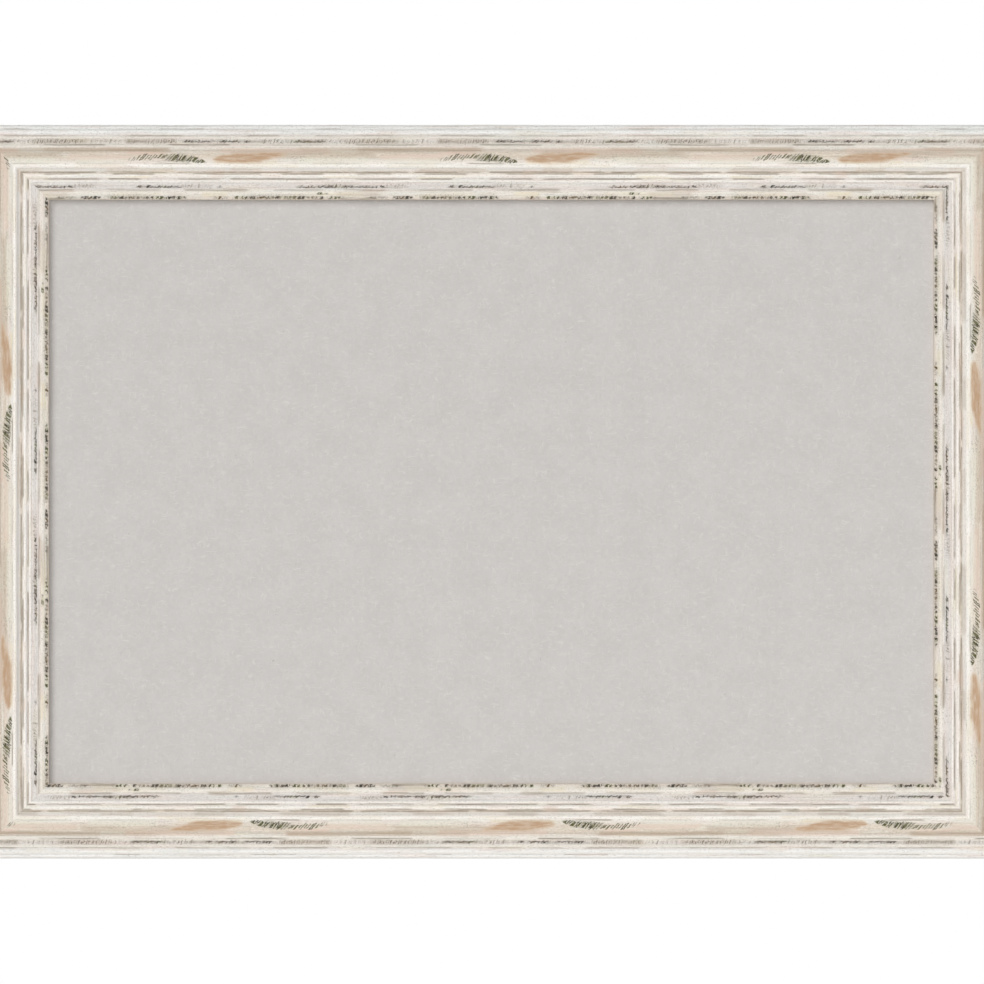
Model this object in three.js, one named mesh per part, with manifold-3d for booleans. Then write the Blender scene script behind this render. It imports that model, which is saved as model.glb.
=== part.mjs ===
// A framed cork board that hangs on a wall: four mitred moulding rails round a cork pinning panel.
// Millimetres. +Z is up, the front faces -Y, and the wall is the plane y = 0 behind the board.
import * as THREE from 'three';
import { mergeVertices } from 'three/addons/utils/BufferGeometryUtils.js';
import Module from 'manifold-3d';

const wasm = await Module();
wasm.setup();

// Clearances
const seat_gap = 0.2;              // between a piece and the face that it rests on
const cut_gap = 0.25;              // between a driven fastener and the wood round it
const overrun = 1;                 // how far a cutting shape reaches past the surface that it cuts

// Pinning panel: a cork sheet glued to a stiff backing board
const panel_width = 609.6;
const panel_height = 406.4;
const cork_thickness = 3;
const glue_film = 0.1;
const backing_thickness = 6;

// Moulding section
const moulding_width = 50.5;
const panel_lap = 6.35;            // how far the lip covers the panel on every side
const rabbet_side_gap = 1.6;       // between the panel's edge and the rabbet's side wall
const rabbet_reserve = 2.5;        // depth left free behind the framer's points
const lip_thickness = 4;           // at the sight edge, from the rabbet's ledge to the front
const crown_rise = 7.5;            // from the sight edge's front to the top of the crown
const mitre_gap = 0.2;             // glue line between two rails

// Framer's points, the flat steel tabs that hold the panel in
const point_thickness = 0.5;
const point_width = 5.5;
const point_length = 15;
const point_tip_length = 3;
const point_embed = 6;             // length driven into the rabbet's side wall
const points_on_long_rail = 5;
const points_on_short_rail = 3;

// V-nails across the back of each mitre
const v_nail_leg = 6;
const v_nail_thickness = 0.6;
const v_nail_height = 10;
const v_nail_recess = 0.3;         // how far it is driven below the rail's back
const v_nail_across_shares = { inner: 0.22, outer: 0.72 };   // of the flat back's width

// Hangers: a strap curled round the straight bar of a D-shaped ring
const ring_wire_radius = 1.1;
const ring_inner_half_width = 6.3;
const ring_reach = 12;             // from the bar's axis to the far end's axis
const ring_corner_radius = 1.6;
const barrel_gap = 0.25;           // between the ring's bar and the barrel
const strap_thickness = 0.8;
const strap_width = 11;
const screw_offsets = { upper: 6.5, lower: 19.5 };           // from the ring's bar, down the strap
const screw_hole_gap = 0.35;       // between a screw's shank and the hole in the strap
const hanger_drop_share = 0.25;    // of the frame's height, from the top edge to the ring's bar

// Pan-head wood screws
const screw_shank_radius = 1.4;
const screw_length = 13;
const screw_tip_length = 3;
const screw_head_radius = 3.1;
const screw_head_height = 1.9;
const screw_rim_share = 0.5;       // of the head's height, below its dome
const screw_slot_width = 0.7;
const screw_slot_length = 3.4;
const screw_slot_depth = 1;

// Soft pads that keep the lower corners off the wall
const bumper_radius = 6.35;
const bumper_height = 4.7;
const bumper_rim_share = 0.35;     // of its height, below its rounded shoulder
const bumper_from_corner = 20;     // along the bottom rail, inward from the sight corner

// How finely round shapes are cut into flats
const profile_steps = 6;
const round_steps = 24;
const wire_steps = 10;
const corner_steps = 4;
const bow_steps = 18;

// The face of the moulding, one row for each member, from the sight edge outward: where the member
// ends as a share of the moulding's width, how high it ends as a share of the crown's rise, and how
// far its middle stands above (or, below zero, under) a straight line, as a share of the same rise.
const face_member_shares = [
  [0.016, 0.060, 0.012],           // worn sight arris
  [0.051, 0.120, -0.015],          // hollow beside the arris
  [0.125, 0.190, 0.107],           // sight bead
  [0.137, 0.250, 0],               // step
  [0.224, 0.300, -0.020],          // flat band
  [0.271, 0.330, 0.093],           // small bead
  [0.283, 0.335, -0.020],          // quirk
  [0.352, 0.360, 0.147],           // full bead
  [0.376, 0.375, -0.040],          // groove
  [0.420, 0.690, -0.050],          // riser up to the crown
  [0.465, 0.800, 0.060],           // ridge
  [0.657, 0.855, 0.170],           // broad crown
  [0.677, 0.770, -0.025],          // quirk outside the crown
  [0.731, 0.700, 0.053],           // fillet
  [0.790, 0.500, -0.040],          // cove
  [0.802, 0.510, -0.012],          // step
  [0.857, 0.480, 0.107],           // bead
  [0.945, 0.360, 0.160],           // outer bead
  [0.956, 0.330, -0.015],          // quirk
  [1, 0.100, 0.080],               // outer round-over
];

// Sizes that follow from the ones above
const sight_width = panel_width - 2 * panel_lap;
const sight_height = panel_height - 2 * panel_lap;
const rabbet_width = panel_lap + rabbet_side_gap;
const board_back_height = rabbet_reserve + point_thickness + seat_gap;
const board_front_height = board_back_height + backing_thickness;
const cork_back_height = board_front_height + glue_film;
const cork_front_height = cork_back_height + cork_thickness;
const rabbet_depth = cork_front_height + seat_gap;
const sight_edge_height = rabbet_depth + lip_thickness;
const rail_back_y = -(bumper_height + seat_gap);
const flat_back_width = moulding_width - rabbet_width;
const flat_back_middle = rabbet_width + flat_back_width / 2;
const barrel_inner_radius = ring_wire_radius + barrel_gap;
const barrel_outer_radius = barrel_inner_radius + strap_thickness;
const strap_length = screw_offsets.lower + strap_width / 2;

// Materials
const whitewashed_wood = new THREE.MeshStandardMaterial({ color: 0xdcd2c4, roughness: 0.72, metalness: 0 });
const grey_cork = new THREE.MeshStandardMaterial({ color: 0xcac6c3, roughness: 0.92, metalness: 0 });
const fibreboard = new THREE.MeshStandardMaterial({ color: 0x9a7d58, roughness: 0.85, metalness: 0 });
const bright_steel = new THREE.MeshStandardMaterial({ color: 0xb9bbbd, roughness: 0.35, metalness: 1 });
const dark_steel = new THREE.MeshStandardMaterial({ color: 0x77797c, roughness: 0.45, metalness: 1 });
const soft_rubber = new THREE.MeshStandardMaterial({ color: 0xd9d7d2, roughness: 0.6, metalness: 0 });

// A closed three.js geometry as a solid that can be cut and joined
function to_solid(geometry) {
  const bare = geometry.clone();
  bare.deleteAttribute('normal');
  bare.deleteAttribute('uv');
  const merged = mergeVertices(bare);
  return new wasm.Manifold(new wasm.Mesh({
    numProp: 3,
    vertProperties: Float32Array.from(merged.attributes.position.array),
    triVerts: Uint32Array.from(merged.index.array),
  }));
}

// A solid as a three.js geometry again
function to_geometry(solid) {
  const mesh = solid.getMesh();
  const geometry = new THREE.BufferGeometry();
  geometry.setAttribute('position', new THREE.BufferAttribute(mesh.vertProperties, 3));
  geometry.setIndex(new THREE.BufferAttribute(mesh.triVerts, 1));
  geometry.computeVertexNormals();
  return geometry;
}

// The first solid with all the other solids cut out of it
function cut(solid, cutters) {
  return cutters.reduce((rest, cutter) => rest.subtract(cutter), solid);
}

// A flat outline whose x and y become X and Z, of the stated thickness, from the plane y = from_y
function plate_in_xz(outline, thickness, from_y) {
  const geometry = new THREE.ExtrudeGeometry(outline, {
    depth: thickness,
    bevelEnabled: false,
    curveSegments: round_steps / 2,
  });
  return geometry.rotateX(Math.PI / 2).translate(0, from_y + thickness, 0);
}

// A box given by its low and high corners
function box_between(low, high) {
  const size = high.map((value, i) => value - low[i]);
  const middle = high.map((value, i) => (value + low[i]) / 2);
  return new THREE.BoxGeometry(...size).translate(...middle);
}

// A named piece in its place
function piece(name, geometry, material) {
  const mesh = new THREE.Mesh(geometry, material);
  mesh.name = name;
  return mesh;
}

// Section of the moulding: x is the distance outward from the sight edge, y the height off the back
function rail_section() {
  const section = new THREE.Shape();
  section.moveTo(rabbet_width, 0);
  section.lineTo(moulding_width, 0);
  const last = face_member_shares.length - 1;
  const end_of = (i) => ({
    across: i < 0 ? 0 : face_member_shares[i][0] * moulding_width,
    height: sight_edge_height + (i < 0 ? 0 : face_member_shares[i][1] * crown_rise),
  });
  section.lineTo(end_of(last).across, end_of(last).height);
  for (let i = last; i >= 0; i -= 1) {
    const start = end_of(i - 1);
    const end = end_of(i);
    const bulge = face_member_shares[i][2] * crown_rise;
    if (bulge === 0) {
      section.lineTo(start.across, start.height);
    } else {
      const middle_height = (start.height + end.height) / 2;
      section.quadraticCurveTo(
        (start.across + end.across) / 2, middle_height + 2 * bulge,
        start.across, start.height,
      );
    }
  }
  section.lineTo(0, rabbet_depth);
  section.lineTo(rabbet_width, rabbet_depth);
  section.closePath();
  return section;
}

// One rail lying along X with its sight edge at z = 0 and its back at y = 0, mitred at both ends
function plain_rail(half_sight) {
  const geometry = new THREE.ExtrudeGeometry(rail_section(), {
    depth: 1,
    bevelEnabled: false,
    steps: 1,
    curveSegments: profile_steps,
  });
  const place = geometry.attributes.position;
  const end_setback = mitre_gap / Math.SQRT2;
  for (let i = 0; i < place.count; i += 1) {
    const across = place.getX(i);
    const height = place.getY(i);
    const side = 2 * place.getZ(i) - 1;
    place.setXYZ(i, side * (half_sight + across - end_setback), -height, across);
  }
  return to_solid(geometry);
}

// A framer's point in the rail's own frame: its tip is in the wood, its tail over the board
function point_outline(margin) {
  const half = point_width / 2 + margin;
  const tip = rabbet_width + point_embed + margin;
  const shoulder = tip - point_tip_length - margin;
  const tail = rabbet_width + point_embed - point_length;
  const outline = new THREE.Shape();
  outline.moveTo(-half, tail);
  outline.lineTo(half, tail);
  outline.lineTo(half, shoulder);
  outline.lineTo(0, tip);
  outline.lineTo(-half, shoulder);
  outline.closePath();
  return outline;
}

function point_geometry(along, margin) {
  const thickness = point_thickness + 2 * margin;
  const from_y = -(rabbet_reserve + point_thickness + margin);
  return plate_in_xz(point_outline(margin), thickness, from_y).translate(along, 0, 0);
}

// A V-nail at the sight corner's own frame: one leg runs along -X, the other along -Z
function v_nail_geometry(across, margin, recess) {
  const half = v_nail_thickness / 2 + margin;
  const leg_end = across - v_nail_leg - margin;
  const outline = new THREE.Shape();
  outline.moveTo(across + half, across + half);
  outline.lineTo(leg_end, across + half);
  outline.lineTo(leg_end, across - half);
  outline.lineTo(across - half, across - half);
  outline.lineTo(across - half, leg_end);
  outline.lineTo(across + half, leg_end);
  outline.closePath();
  const depth = v_nail_recess + v_nail_height + margin;
  return plate_in_xz(outline, depth - recess, -depth);
}

const v_nail_places = Object.entries(v_nail_across_shares).map(([where, share]) => ({
  where,
  across: rabbet_width + share * flat_back_width,
}));

// Slots for the V-nails at both ends of a rail
function v_nail_cutters(half_sight) {
  return v_nail_places.flatMap(({ across }) => {
    const slot = to_solid(v_nail_geometry(across, cut_gap, -overrun));
    const right_end = slot.translate([half_sight, 0, 0]);
    return [right_end, right_end.mirror([1, 0, 0])];
  });
}

// Places of the framer's points along a rail, evenly spaced over the panel's length
function point_places(count, panel_length) {
  return Array.from({ length: count }, (_, i) => ((i + 0.5) / count - 0.5) * panel_length);
}

// A pilot hole that goes into the back of a rail, in the hanger's own frame
function pilot_hole(down) {
  const radius = screw_shank_radius + cut_gap;
  const depth = screw_length - strap_thickness - seat_gap + cut_gap;
  const length = depth + overrun;
  const hole = new THREE.CylinderGeometry(radius, radius, length, round_steps / 2);
  const back_y = -(barrel_outer_radius + seat_gap);
  return to_solid(hole.translate(0, back_y + overrun - length / 2, -down));
}

// Where the ring's bar lies, measured from the board's centre
const hanger_x = sight_width / 2 + flat_back_middle;
const hanger_y = rail_back_y + seat_gap + barrel_outer_radius;
const frame_height = sight_height + 2 * moulding_width;
const hanger_z = frame_height / 2 - hanger_drop_share * frame_height;

// A level rail runs along the sight opening's width, an upright rail along its height
const level = {
  sight_length: sight_width,
  sight_across: sight_height,
  panel_length: panel_width,
  points: points_on_long_rail,
};
const upright = {
  sight_length: sight_height,
  sight_across: sight_width,
  panel_length: panel_height,
  points: points_on_short_rail,
};

// The rails differ in their direction and in how they are turned about Y from the top rail's place
const rails = [
  { name: 'top', direction: level, turn: 0 },
  { name: 'right', direction: upright, turn: Math.PI / 2 },
  { name: 'bottom', direction: level, turn: Math.PI },
  { name: 'left', direction: upright, turn: -Math.PI / 2 },
];

// Pilot holes for the hanger's screws, in the frame of an upright rail
function hanger_cutters(side) {
  return Object.values(screw_offsets).map((down) => pilot_hole(down)
    .translate([0, hanger_y - rail_back_y, 0])
    .rotate([0, -side * 90, 0])
    .translate([-side * hanger_z, 0, flat_back_middle]));
}

// A rail and its framer's points, built at the top rail's place and turned into their own
function rail_group({ name, direction, turn }) {
  const group = new THREE.Group();
  const half_sight = direction.sight_length / 2;
  const places = point_places(direction.points, direction.panel_length);
  const cutters = [
    ...v_nail_cutters(half_sight),
    ...places.map((along) => to_solid(point_geometry(along, cut_gap))),
    ...(direction === upright ? hanger_cutters(Math.sign(turn)) : []),
  ];
  const body = cut(plain_rail(half_sight), cutters);
  group.add(piece(`rail_${name}`, to_geometry(body), whitewashed_wood));
  places.forEach((along, i) => {
    group.add(piece(`point_${name}_${i + 1}`, point_geometry(along, 0), dark_steel));
  });
  group.rotation.y = turn;
  const outward = new THREE.Vector3(0, 0, direction.sight_across / 2).applyEuler(group.rotation);
  group.position.set(outward.x, rail_back_y, outward.z);
  return group;
}

// The four mitres, and how each is turned about Y from the top right one
const corners = [
  { name: 'top_right', turn: 0, x: 1, z: 1 },
  { name: 'bottom_right', turn: Math.PI / 2, x: 1, z: -1 },
  { name: 'bottom_left', turn: Math.PI, x: -1, z: -1 },
  { name: 'top_left', turn: -Math.PI / 2, x: -1, z: 1 },
];

// The V-nails of one mitre
function corner_group(corner) {
  const group = new THREE.Group();
  for (const { where, across } of v_nail_places) {
    const nail = v_nail_geometry(across, 0, v_nail_recess);
    group.add(piece(`v_nail_${corner.name}_${where}`, nail, dark_steel));
  }
  group.rotation.y = corner.turn;
  group.position.set(corner.x * sight_width / 2, rail_back_y, corner.z * sight_height / 2);
  return group;
}

// The cork sheet and the backing board that it is glued to
function panel_group() {
  const group = new THREE.Group();
  const sheet = (front_height, back_height) => box_between(
    [-panel_width / 2, rail_back_y - front_height, -panel_height / 2],
    [panel_width / 2, rail_back_y - back_height, panel_height / 2],
  );
  group.add(piece('cork_sheet', sheet(cork_front_height, cork_back_height), grey_cork));
  group.add(piece('backing_board', sheet(board_front_height, board_back_height), fibreboard));
  return group;
}

// The hanger's strap, with the ring's bar along X at the origin and the strap hanging down
function strap_geometry() {
  const half = strap_width / 2;
  const outline = new THREE.Shape();
  outline.moveTo(-half, 0);
  outline.lineTo(-half, -screw_offsets.lower);
  outline.absarc(0, -screw_offsets.lower, half, Math.PI, 2 * Math.PI, false);
  outline.lineTo(half, 0);
  outline.closePath();
  for (const down of Object.values(screw_offsets)) {
    const hole = new THREE.Path();
    hole.absarc(0, -down, screw_shank_radius + screw_hole_gap, 0, 2 * Math.PI, true);
    outline.holes.push(hole);
  }
  const plate = to_solid(plate_in_xz(outline, strap_thickness, -barrel_outer_radius));
  const barrel_section = new THREE.Shape();
  barrel_section.absarc(0, 0, barrel_outer_radius, 0, 2 * Math.PI, false);
  const bore = new THREE.Path();
  bore.absarc(0, 0, barrel_inner_radius, 0, 2 * Math.PI, true);
  barrel_section.holes.push(bore);
  const barrel = new THREE.ExtrudeGeometry(barrel_section, {
    depth: strap_width,
    bevelEnabled: false,
    curveSegments: round_steps,
  }).translate(0, 0, -half).rotateY(Math.PI / 2);
  const bore_cutter = new THREE.CylinderGeometry(
    barrel_inner_radius, barrel_inner_radius, strap_width + 2 * overrun, round_steps,
  ).rotateZ(Math.PI / 2);
  return to_geometry(plate.add(to_solid(barrel)).subtract(to_solid(bore_cutter)));
}

// The line that the ring's wire follows: a bar, two rounded corners, two legs and a half-round bow
function ring_line() {
  const half = ring_inner_half_width + ring_wire_radius;
  const bow_centre = -(ring_reach - half);
  const corner = ring_corner_radius;
  const line = [];
  const arc = (x, z, radius, from, to, steps) => {
    for (let i = 0; i <= steps; i += 1) {
      const angle = from + (to - from) * i / steps;
      line.push(new THREE.Vector2(x + radius * Math.cos(angle), z + radius * Math.sin(angle)));
    }
  };
  arc(half - corner, -corner, corner, Math.PI / 2, 0, corner_steps);
  arc(0, bow_centre, half, 0, -Math.PI, bow_steps);
  arc(corner - half, -corner, corner, Math.PI, Math.PI / 2, corner_steps);
  return line;
}

// A round wire swept along a closed flat line in X and Z
function closed_wire_geometry(line, radius) {
  const positions = [];
  const index = [];
  const count = line.length;
  line.forEach((at, i) => {
    const before = line[(i + count - 1) % count];
    const after = line[(i + 1) % count];
    const back = at.clone().sub(before).normalize();
    const ahead = after.clone().sub(at).normalize();
    const along = back.clone().add(ahead).normalize();
    const side = new THREE.Vector2(-along.y, along.x);
    const stretch = 1 / along.dot(ahead);
    for (let k = 0; k < wire_steps; k += 1) {
      const angle = 2 * Math.PI * k / wire_steps;
      const out = radius * Math.cos(angle) * stretch;
      positions.push(at.x + side.x * out, radius * Math.sin(angle), at.y + side.y * out);
      const next_ring = ((i + 1) % count) * wire_steps;
      const next_k = (k + 1) % wire_steps;
      const here = i * wire_steps;
      index.push(here + k, next_ring + k, here + next_k);
      index.push(here + next_k, next_ring + k, next_ring + next_k);
    }
  });
  const geometry = new THREE.BufferGeometry();
  geometry.setAttribute('position', new THREE.Float32BufferAttribute(positions, 3));
  geometry.setIndex(index);
  geometry.computeVertexNormals();
  return geometry;
}

// A pan-head screw with a cross recess, its head's underside at y = 0 and its tip towards -Y
function screw_geometry() {
  const rim = screw_head_height * screw_rim_share;
  const outline = [
    new THREE.Vector2(0, -screw_length),
    new THREE.Vector2(screw_shank_radius, screw_tip_length - screw_length),
    new THREE.Vector2(screw_shank_radius, 0),
    new THREE.Vector2(screw_head_radius, 0),
    new THREE.Vector2(screw_head_radius, rim),
  ];
  for (let i = 1; i <= corner_steps; i += 1) {
    const angle = Math.PI / 2 * i / corner_steps;
    outline.push(new THREE.Vector2(
      screw_head_radius * Math.cos(angle),
      rim + (screw_head_height - rim) * Math.sin(angle),
    ));
  }
  outline[outline.length - 1].x = 0;
  const body = to_solid(new THREE.LatheGeometry(outline, round_steps / 2));
  const floor = screw_head_height - screw_slot_depth;
  const slot = (half_x, half_z) => to_solid(box_between(
    [-half_x, floor, -half_z],
    [half_x, screw_head_height + overrun, half_z],
  ));
  const long = screw_slot_length / 2;
  const narrow = screw_slot_width / 2;
  return to_geometry(cut(body, [slot(long, narrow), slot(narrow, long)]));
}

// One hanger: strap, ring and screws on an upright rail
function hanger_group(name, side) {
  const group = new THREE.Group();
  group.add(piece(`hanger_strap_${name}`, strap_geometry(), bright_steel));
  group.add(piece(`hanger_ring_${name}`, closed_wire_geometry(ring_line(), ring_wire_radius), bright_steel));
  const head_seat_y = -barrel_outer_radius + strap_thickness + seat_gap;
  for (const [where, down] of Object.entries(screw_offsets)) {
    const screw = piece(`hanger_screw_${name}_${where}`, screw_geometry(), bright_steel);
    screw.position.set(0, head_seat_y, -down);
    group.add(screw);
  }
  group.position.set(side * hanger_x, hanger_y, hanger_z);
  return group;
}

// A soft domed pad, its flat base a seat's gap behind the rail's back
function bumper(name, side) {
  const rim = bumper_height * bumper_rim_share;
  const outline = [new THREE.Vector2(0, 0), new THREE.Vector2(bumper_radius, 0)];
  const shoulder = bumper_height - rim;
  for (let i = 0; i <= corner_steps; i += 1) {
    const angle = Math.PI / 2 * i / corner_steps;
    outline.push(new THREE.Vector2(
      bumper_radius - shoulder + shoulder * Math.cos(angle),
      rim + shoulder * Math.sin(angle),
    ));
  }
  outline.push(new THREE.Vector2(0, bumper_height));
  const pad = piece(`wall_bumper_${name}`, new THREE.LatheGeometry(outline, round_steps), soft_rubber);
  const x = sight_width / 2 - bumper_from_corner;
  pad.position.set(side * x, rail_back_y + seat_gap, -(sight_height / 2 + flat_back_middle));
  return pad;
}

const cork_board = new THREE.Group();
rails.forEach((rail) => cork_board.add(rail_group(rail)));
corners.forEach((corner) => cork_board.add(corner_group(corner)));
cork_board.add(panel_group());
cork_board.add(hanger_group('left', -1));
cork_board.add(hanger_group('right', 1));
cork_board.add(bumper('left', -1));
cork_board.add(bumper('right', 1));

export default cork_board;
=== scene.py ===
# The looks of a framed cork board: a worn, whitewashed moulding round grey cork, with its hangers.
# Blender's unit is the metre; the shapes here are worked out in millimetres and scaled at the end.
import math

import bmesh
import bpy
import numpy as np
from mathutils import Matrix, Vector
from mathutils.geometry import delaunay_2d_cdt


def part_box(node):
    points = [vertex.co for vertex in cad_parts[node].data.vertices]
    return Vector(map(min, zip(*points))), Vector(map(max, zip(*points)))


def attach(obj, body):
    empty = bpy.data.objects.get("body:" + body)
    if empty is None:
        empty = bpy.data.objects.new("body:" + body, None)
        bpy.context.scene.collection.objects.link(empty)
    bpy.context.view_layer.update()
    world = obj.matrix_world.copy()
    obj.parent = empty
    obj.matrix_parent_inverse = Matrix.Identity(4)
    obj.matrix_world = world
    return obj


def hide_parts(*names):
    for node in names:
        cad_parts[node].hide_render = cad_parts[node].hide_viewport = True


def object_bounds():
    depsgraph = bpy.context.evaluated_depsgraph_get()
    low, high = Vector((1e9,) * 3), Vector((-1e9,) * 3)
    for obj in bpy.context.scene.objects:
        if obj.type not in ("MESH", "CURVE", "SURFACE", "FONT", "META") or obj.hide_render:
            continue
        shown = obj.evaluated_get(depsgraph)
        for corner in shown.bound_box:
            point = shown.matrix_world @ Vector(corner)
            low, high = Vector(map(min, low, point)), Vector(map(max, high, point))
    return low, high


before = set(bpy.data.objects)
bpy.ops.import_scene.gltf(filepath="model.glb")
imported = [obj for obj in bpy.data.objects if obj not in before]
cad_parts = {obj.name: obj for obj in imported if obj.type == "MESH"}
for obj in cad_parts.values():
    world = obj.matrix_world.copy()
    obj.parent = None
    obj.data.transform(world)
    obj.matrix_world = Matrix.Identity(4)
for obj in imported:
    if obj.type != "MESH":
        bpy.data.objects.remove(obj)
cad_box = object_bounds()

MM = 0.001
HAIR = 0.01                       # a length too small to matter, for comparing places
scene = bpy.context.scene


# Sizes read from the frame, in millimetres

def read(items, field, kind=float, each=1):
    """One field of all of a mesh's items, as an array."""
    values = np.empty(len(items) * each, kind)
    items.foreach_get(field, values)
    return values


def cad_points(node):
    """The vertices of a CAD node."""
    return read(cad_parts[node].data.vertices, "co", each=3).reshape(-1, 3) / MM


def cad_box_of(node):
    """The lowest and the highest corner of a CAD node."""
    return np.array(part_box(node)) / MM


top_low, top_high = cad_box_of("rail_top")
sight_half_height = top_low[2]
sight_half_width = cad_box_of("rail_right")[0, 0]
moulding_width = top_high[2] - top_low[2]
rail_back_y = top_high[1]
top_points = cad_points("rail_top")
at_sight_edge = top_points[top_points[:, 2] < sight_half_height + HAIR]
at_back = top_points[top_points[:, 1] > rail_back_y - HAIR]
rabbet_depth = rail_back_y - at_sight_edge[:, 1].max()
sight_edge_height = rail_back_y - at_sight_edge[:, 1].min()
rabbet_width = at_back[:, 2].min() - sight_half_height


# Smooth noise for shapes, always the same from run to run

NOISE_TABLE = 256


def smooth_noise(x, y, seed):
    """Value noise from -1 to 1 with one bump a unit, for arrays x and y."""
    table = np.random.default_rng(seed).random((NOISE_TABLE, NOISE_TABLE)) * 2 - 1
    x0 = np.floor(x).astype(int)
    y0 = np.floor(y).astype(int)
    u = smoothstep(x - x0, 0, 1)
    v = smoothstep(y - y0, 0, 1)

    def at(i, j):
        return table[i % NOISE_TABLE, j % NOISE_TABLE]

    low = at(x0, y0) * (1 - u) + at(x0 + 1, y0) * u
    high = at(x0, y0 + 1) * (1 - u) + at(x0 + 1, y0 + 1) * u
    return low * (1 - v) + high * v


def smoothstep(values, low, high):
    """0 below low, 1 above high, and a smooth rise between."""
    share = np.clip((values - low) / (high - low), 0, 1)
    return share * share * (3 - 2 * share)


# Flat lines of points

def lengths(line):
    """How far each point lies from the first, along the line."""
    return np.r_[0, np.cumsum(np.hypot(*np.diff(line, axis=0).T))]


def unit(ways):
    """Directions one long."""
    return ways / np.hypot(*ways.T)[:, None]


def leftward(ways):
    """The directions to the left of others, one long."""
    return unit(ways)[:, ::-1] * (-1, 1)


def circle(centre, radius, sides):
    angle = np.arange(sides) * 2 * math.pi / sides
    return np.array(centre) + radius * np.c_[np.cos(angle), np.sin(angle)]


# Section of the moulding, taken from the CAD rail: across is measured outward from the sight edge,
# height forward from the rail's back

FACE_STEP = 0.5                   # most that two samples of the face lie apart
FACE_SMOOTHING = 0.14             # how far paint rounds the corners of the members
DENSE_STEP = 0.05
BACK_ARRIS = 0.6                  # how far the back's outer corner is eased


def face_contour():
    """Samples of the rail's face from the sight edge to the outer edge, as (across, height)."""
    front_by_across = {}
    for x, y, z in top_points[rail_back_y - top_points[:, 1] > rabbet_depth + HAIR]:
        across = round(z - sight_half_height, 3)
        front_by_across[across] = max(front_by_across.get(across, 0.0), rail_back_y - y)
    corners = np.array(sorted(front_by_across.items()))
    length = lengths(corners)
    dense = np.arange(0, length[-1], DENSE_STEP)
    reach = int(4 * FACE_SMOOTHING / DENSE_STEP)
    kernel = np.exp(-0.5 * (np.arange(-reach, reach + 1) * DENSE_STEP / FACE_SMOOTHING) ** 2)
    samples = [0.0]
    for low, high in zip(length[:-1], length[1:]):
        parts = max(1, math.ceil((high - low) / FACE_STEP))
        samples += [low + (high - low) * (i + 1) / parts for i in range(parts)]
    samples = np.array(samples)
    samples = samples[np.r_[True, np.diff(samples) > FACE_STEP * 0.2]]
    smoothed = []
    for values in corners.T:
        values = np.interp(dense, length, values)
        start = 2 * values[0] - values[reach:0:-1]
        end = 2 * values[-1] - values[-2:-reach - 2:-1]
        values = np.convolve(np.r_[start, values, end], kernel / kernel.sum(), mode="valid")
        smoothed.append(np.interp(samples, dense, values))
    return np.stack(smoothed, axis=1)


face = face_contour()
back_corner = (moulding_width - BACK_ARRIS, 0)
side_corner = (moulding_width, BACK_ARRIS)
wall_corner = (0, rabbet_depth)
ledge_corner = (rabbet_width, rabbet_depth)
outer_wall = np.vstack([
    np.linspace(back_corner, side_corner, 4), np.linspace(side_corner, face[-1], 10)[1:],
])
lip_wall = np.linspace(face[0], wall_corner, 7)[1:]
ledge = np.linspace(wall_corner, ledge_corner, 4)[1:]
rabbet_wall = np.linspace(ledge_corner, (rabbet_width, 0), 5)[1:]
section = np.vstack([outer_wall[:-1], face[::-1], lip_wall, ledge, rabbet_wall])
samples = np.arange(len(section))
face_first = len(outer_wall) - 1
lip_first = face_first + len(face)
ledge_first = lip_first + len(lip_wall)
section_girth = lengths(section)
section_normal = -leftward(np.gradient(section, axis=0))
face_share_by_across = (face[:, 0], lengths(face) / lengths(face)[-1])
section_face_share = np.interp(section[:, 0], *face_share_by_across)
section_face_share[:face_first] = 1
section_face_share[lip_first:] = 0
section_painted = (samples >= 2) & (samples < ledge_first - 2)


# Wear that the moulding's finish repeats along its length, as the roller that prints it turns.
# Rows of marks run along the rail. Each has its place across the face as a share of the moulding's
# width, its half width, and its runs: start and end as shares of the repeat, and strength.

REPEAT = 210.4
RUN_SOFTNESS = 0.012              # of the repeat

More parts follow.
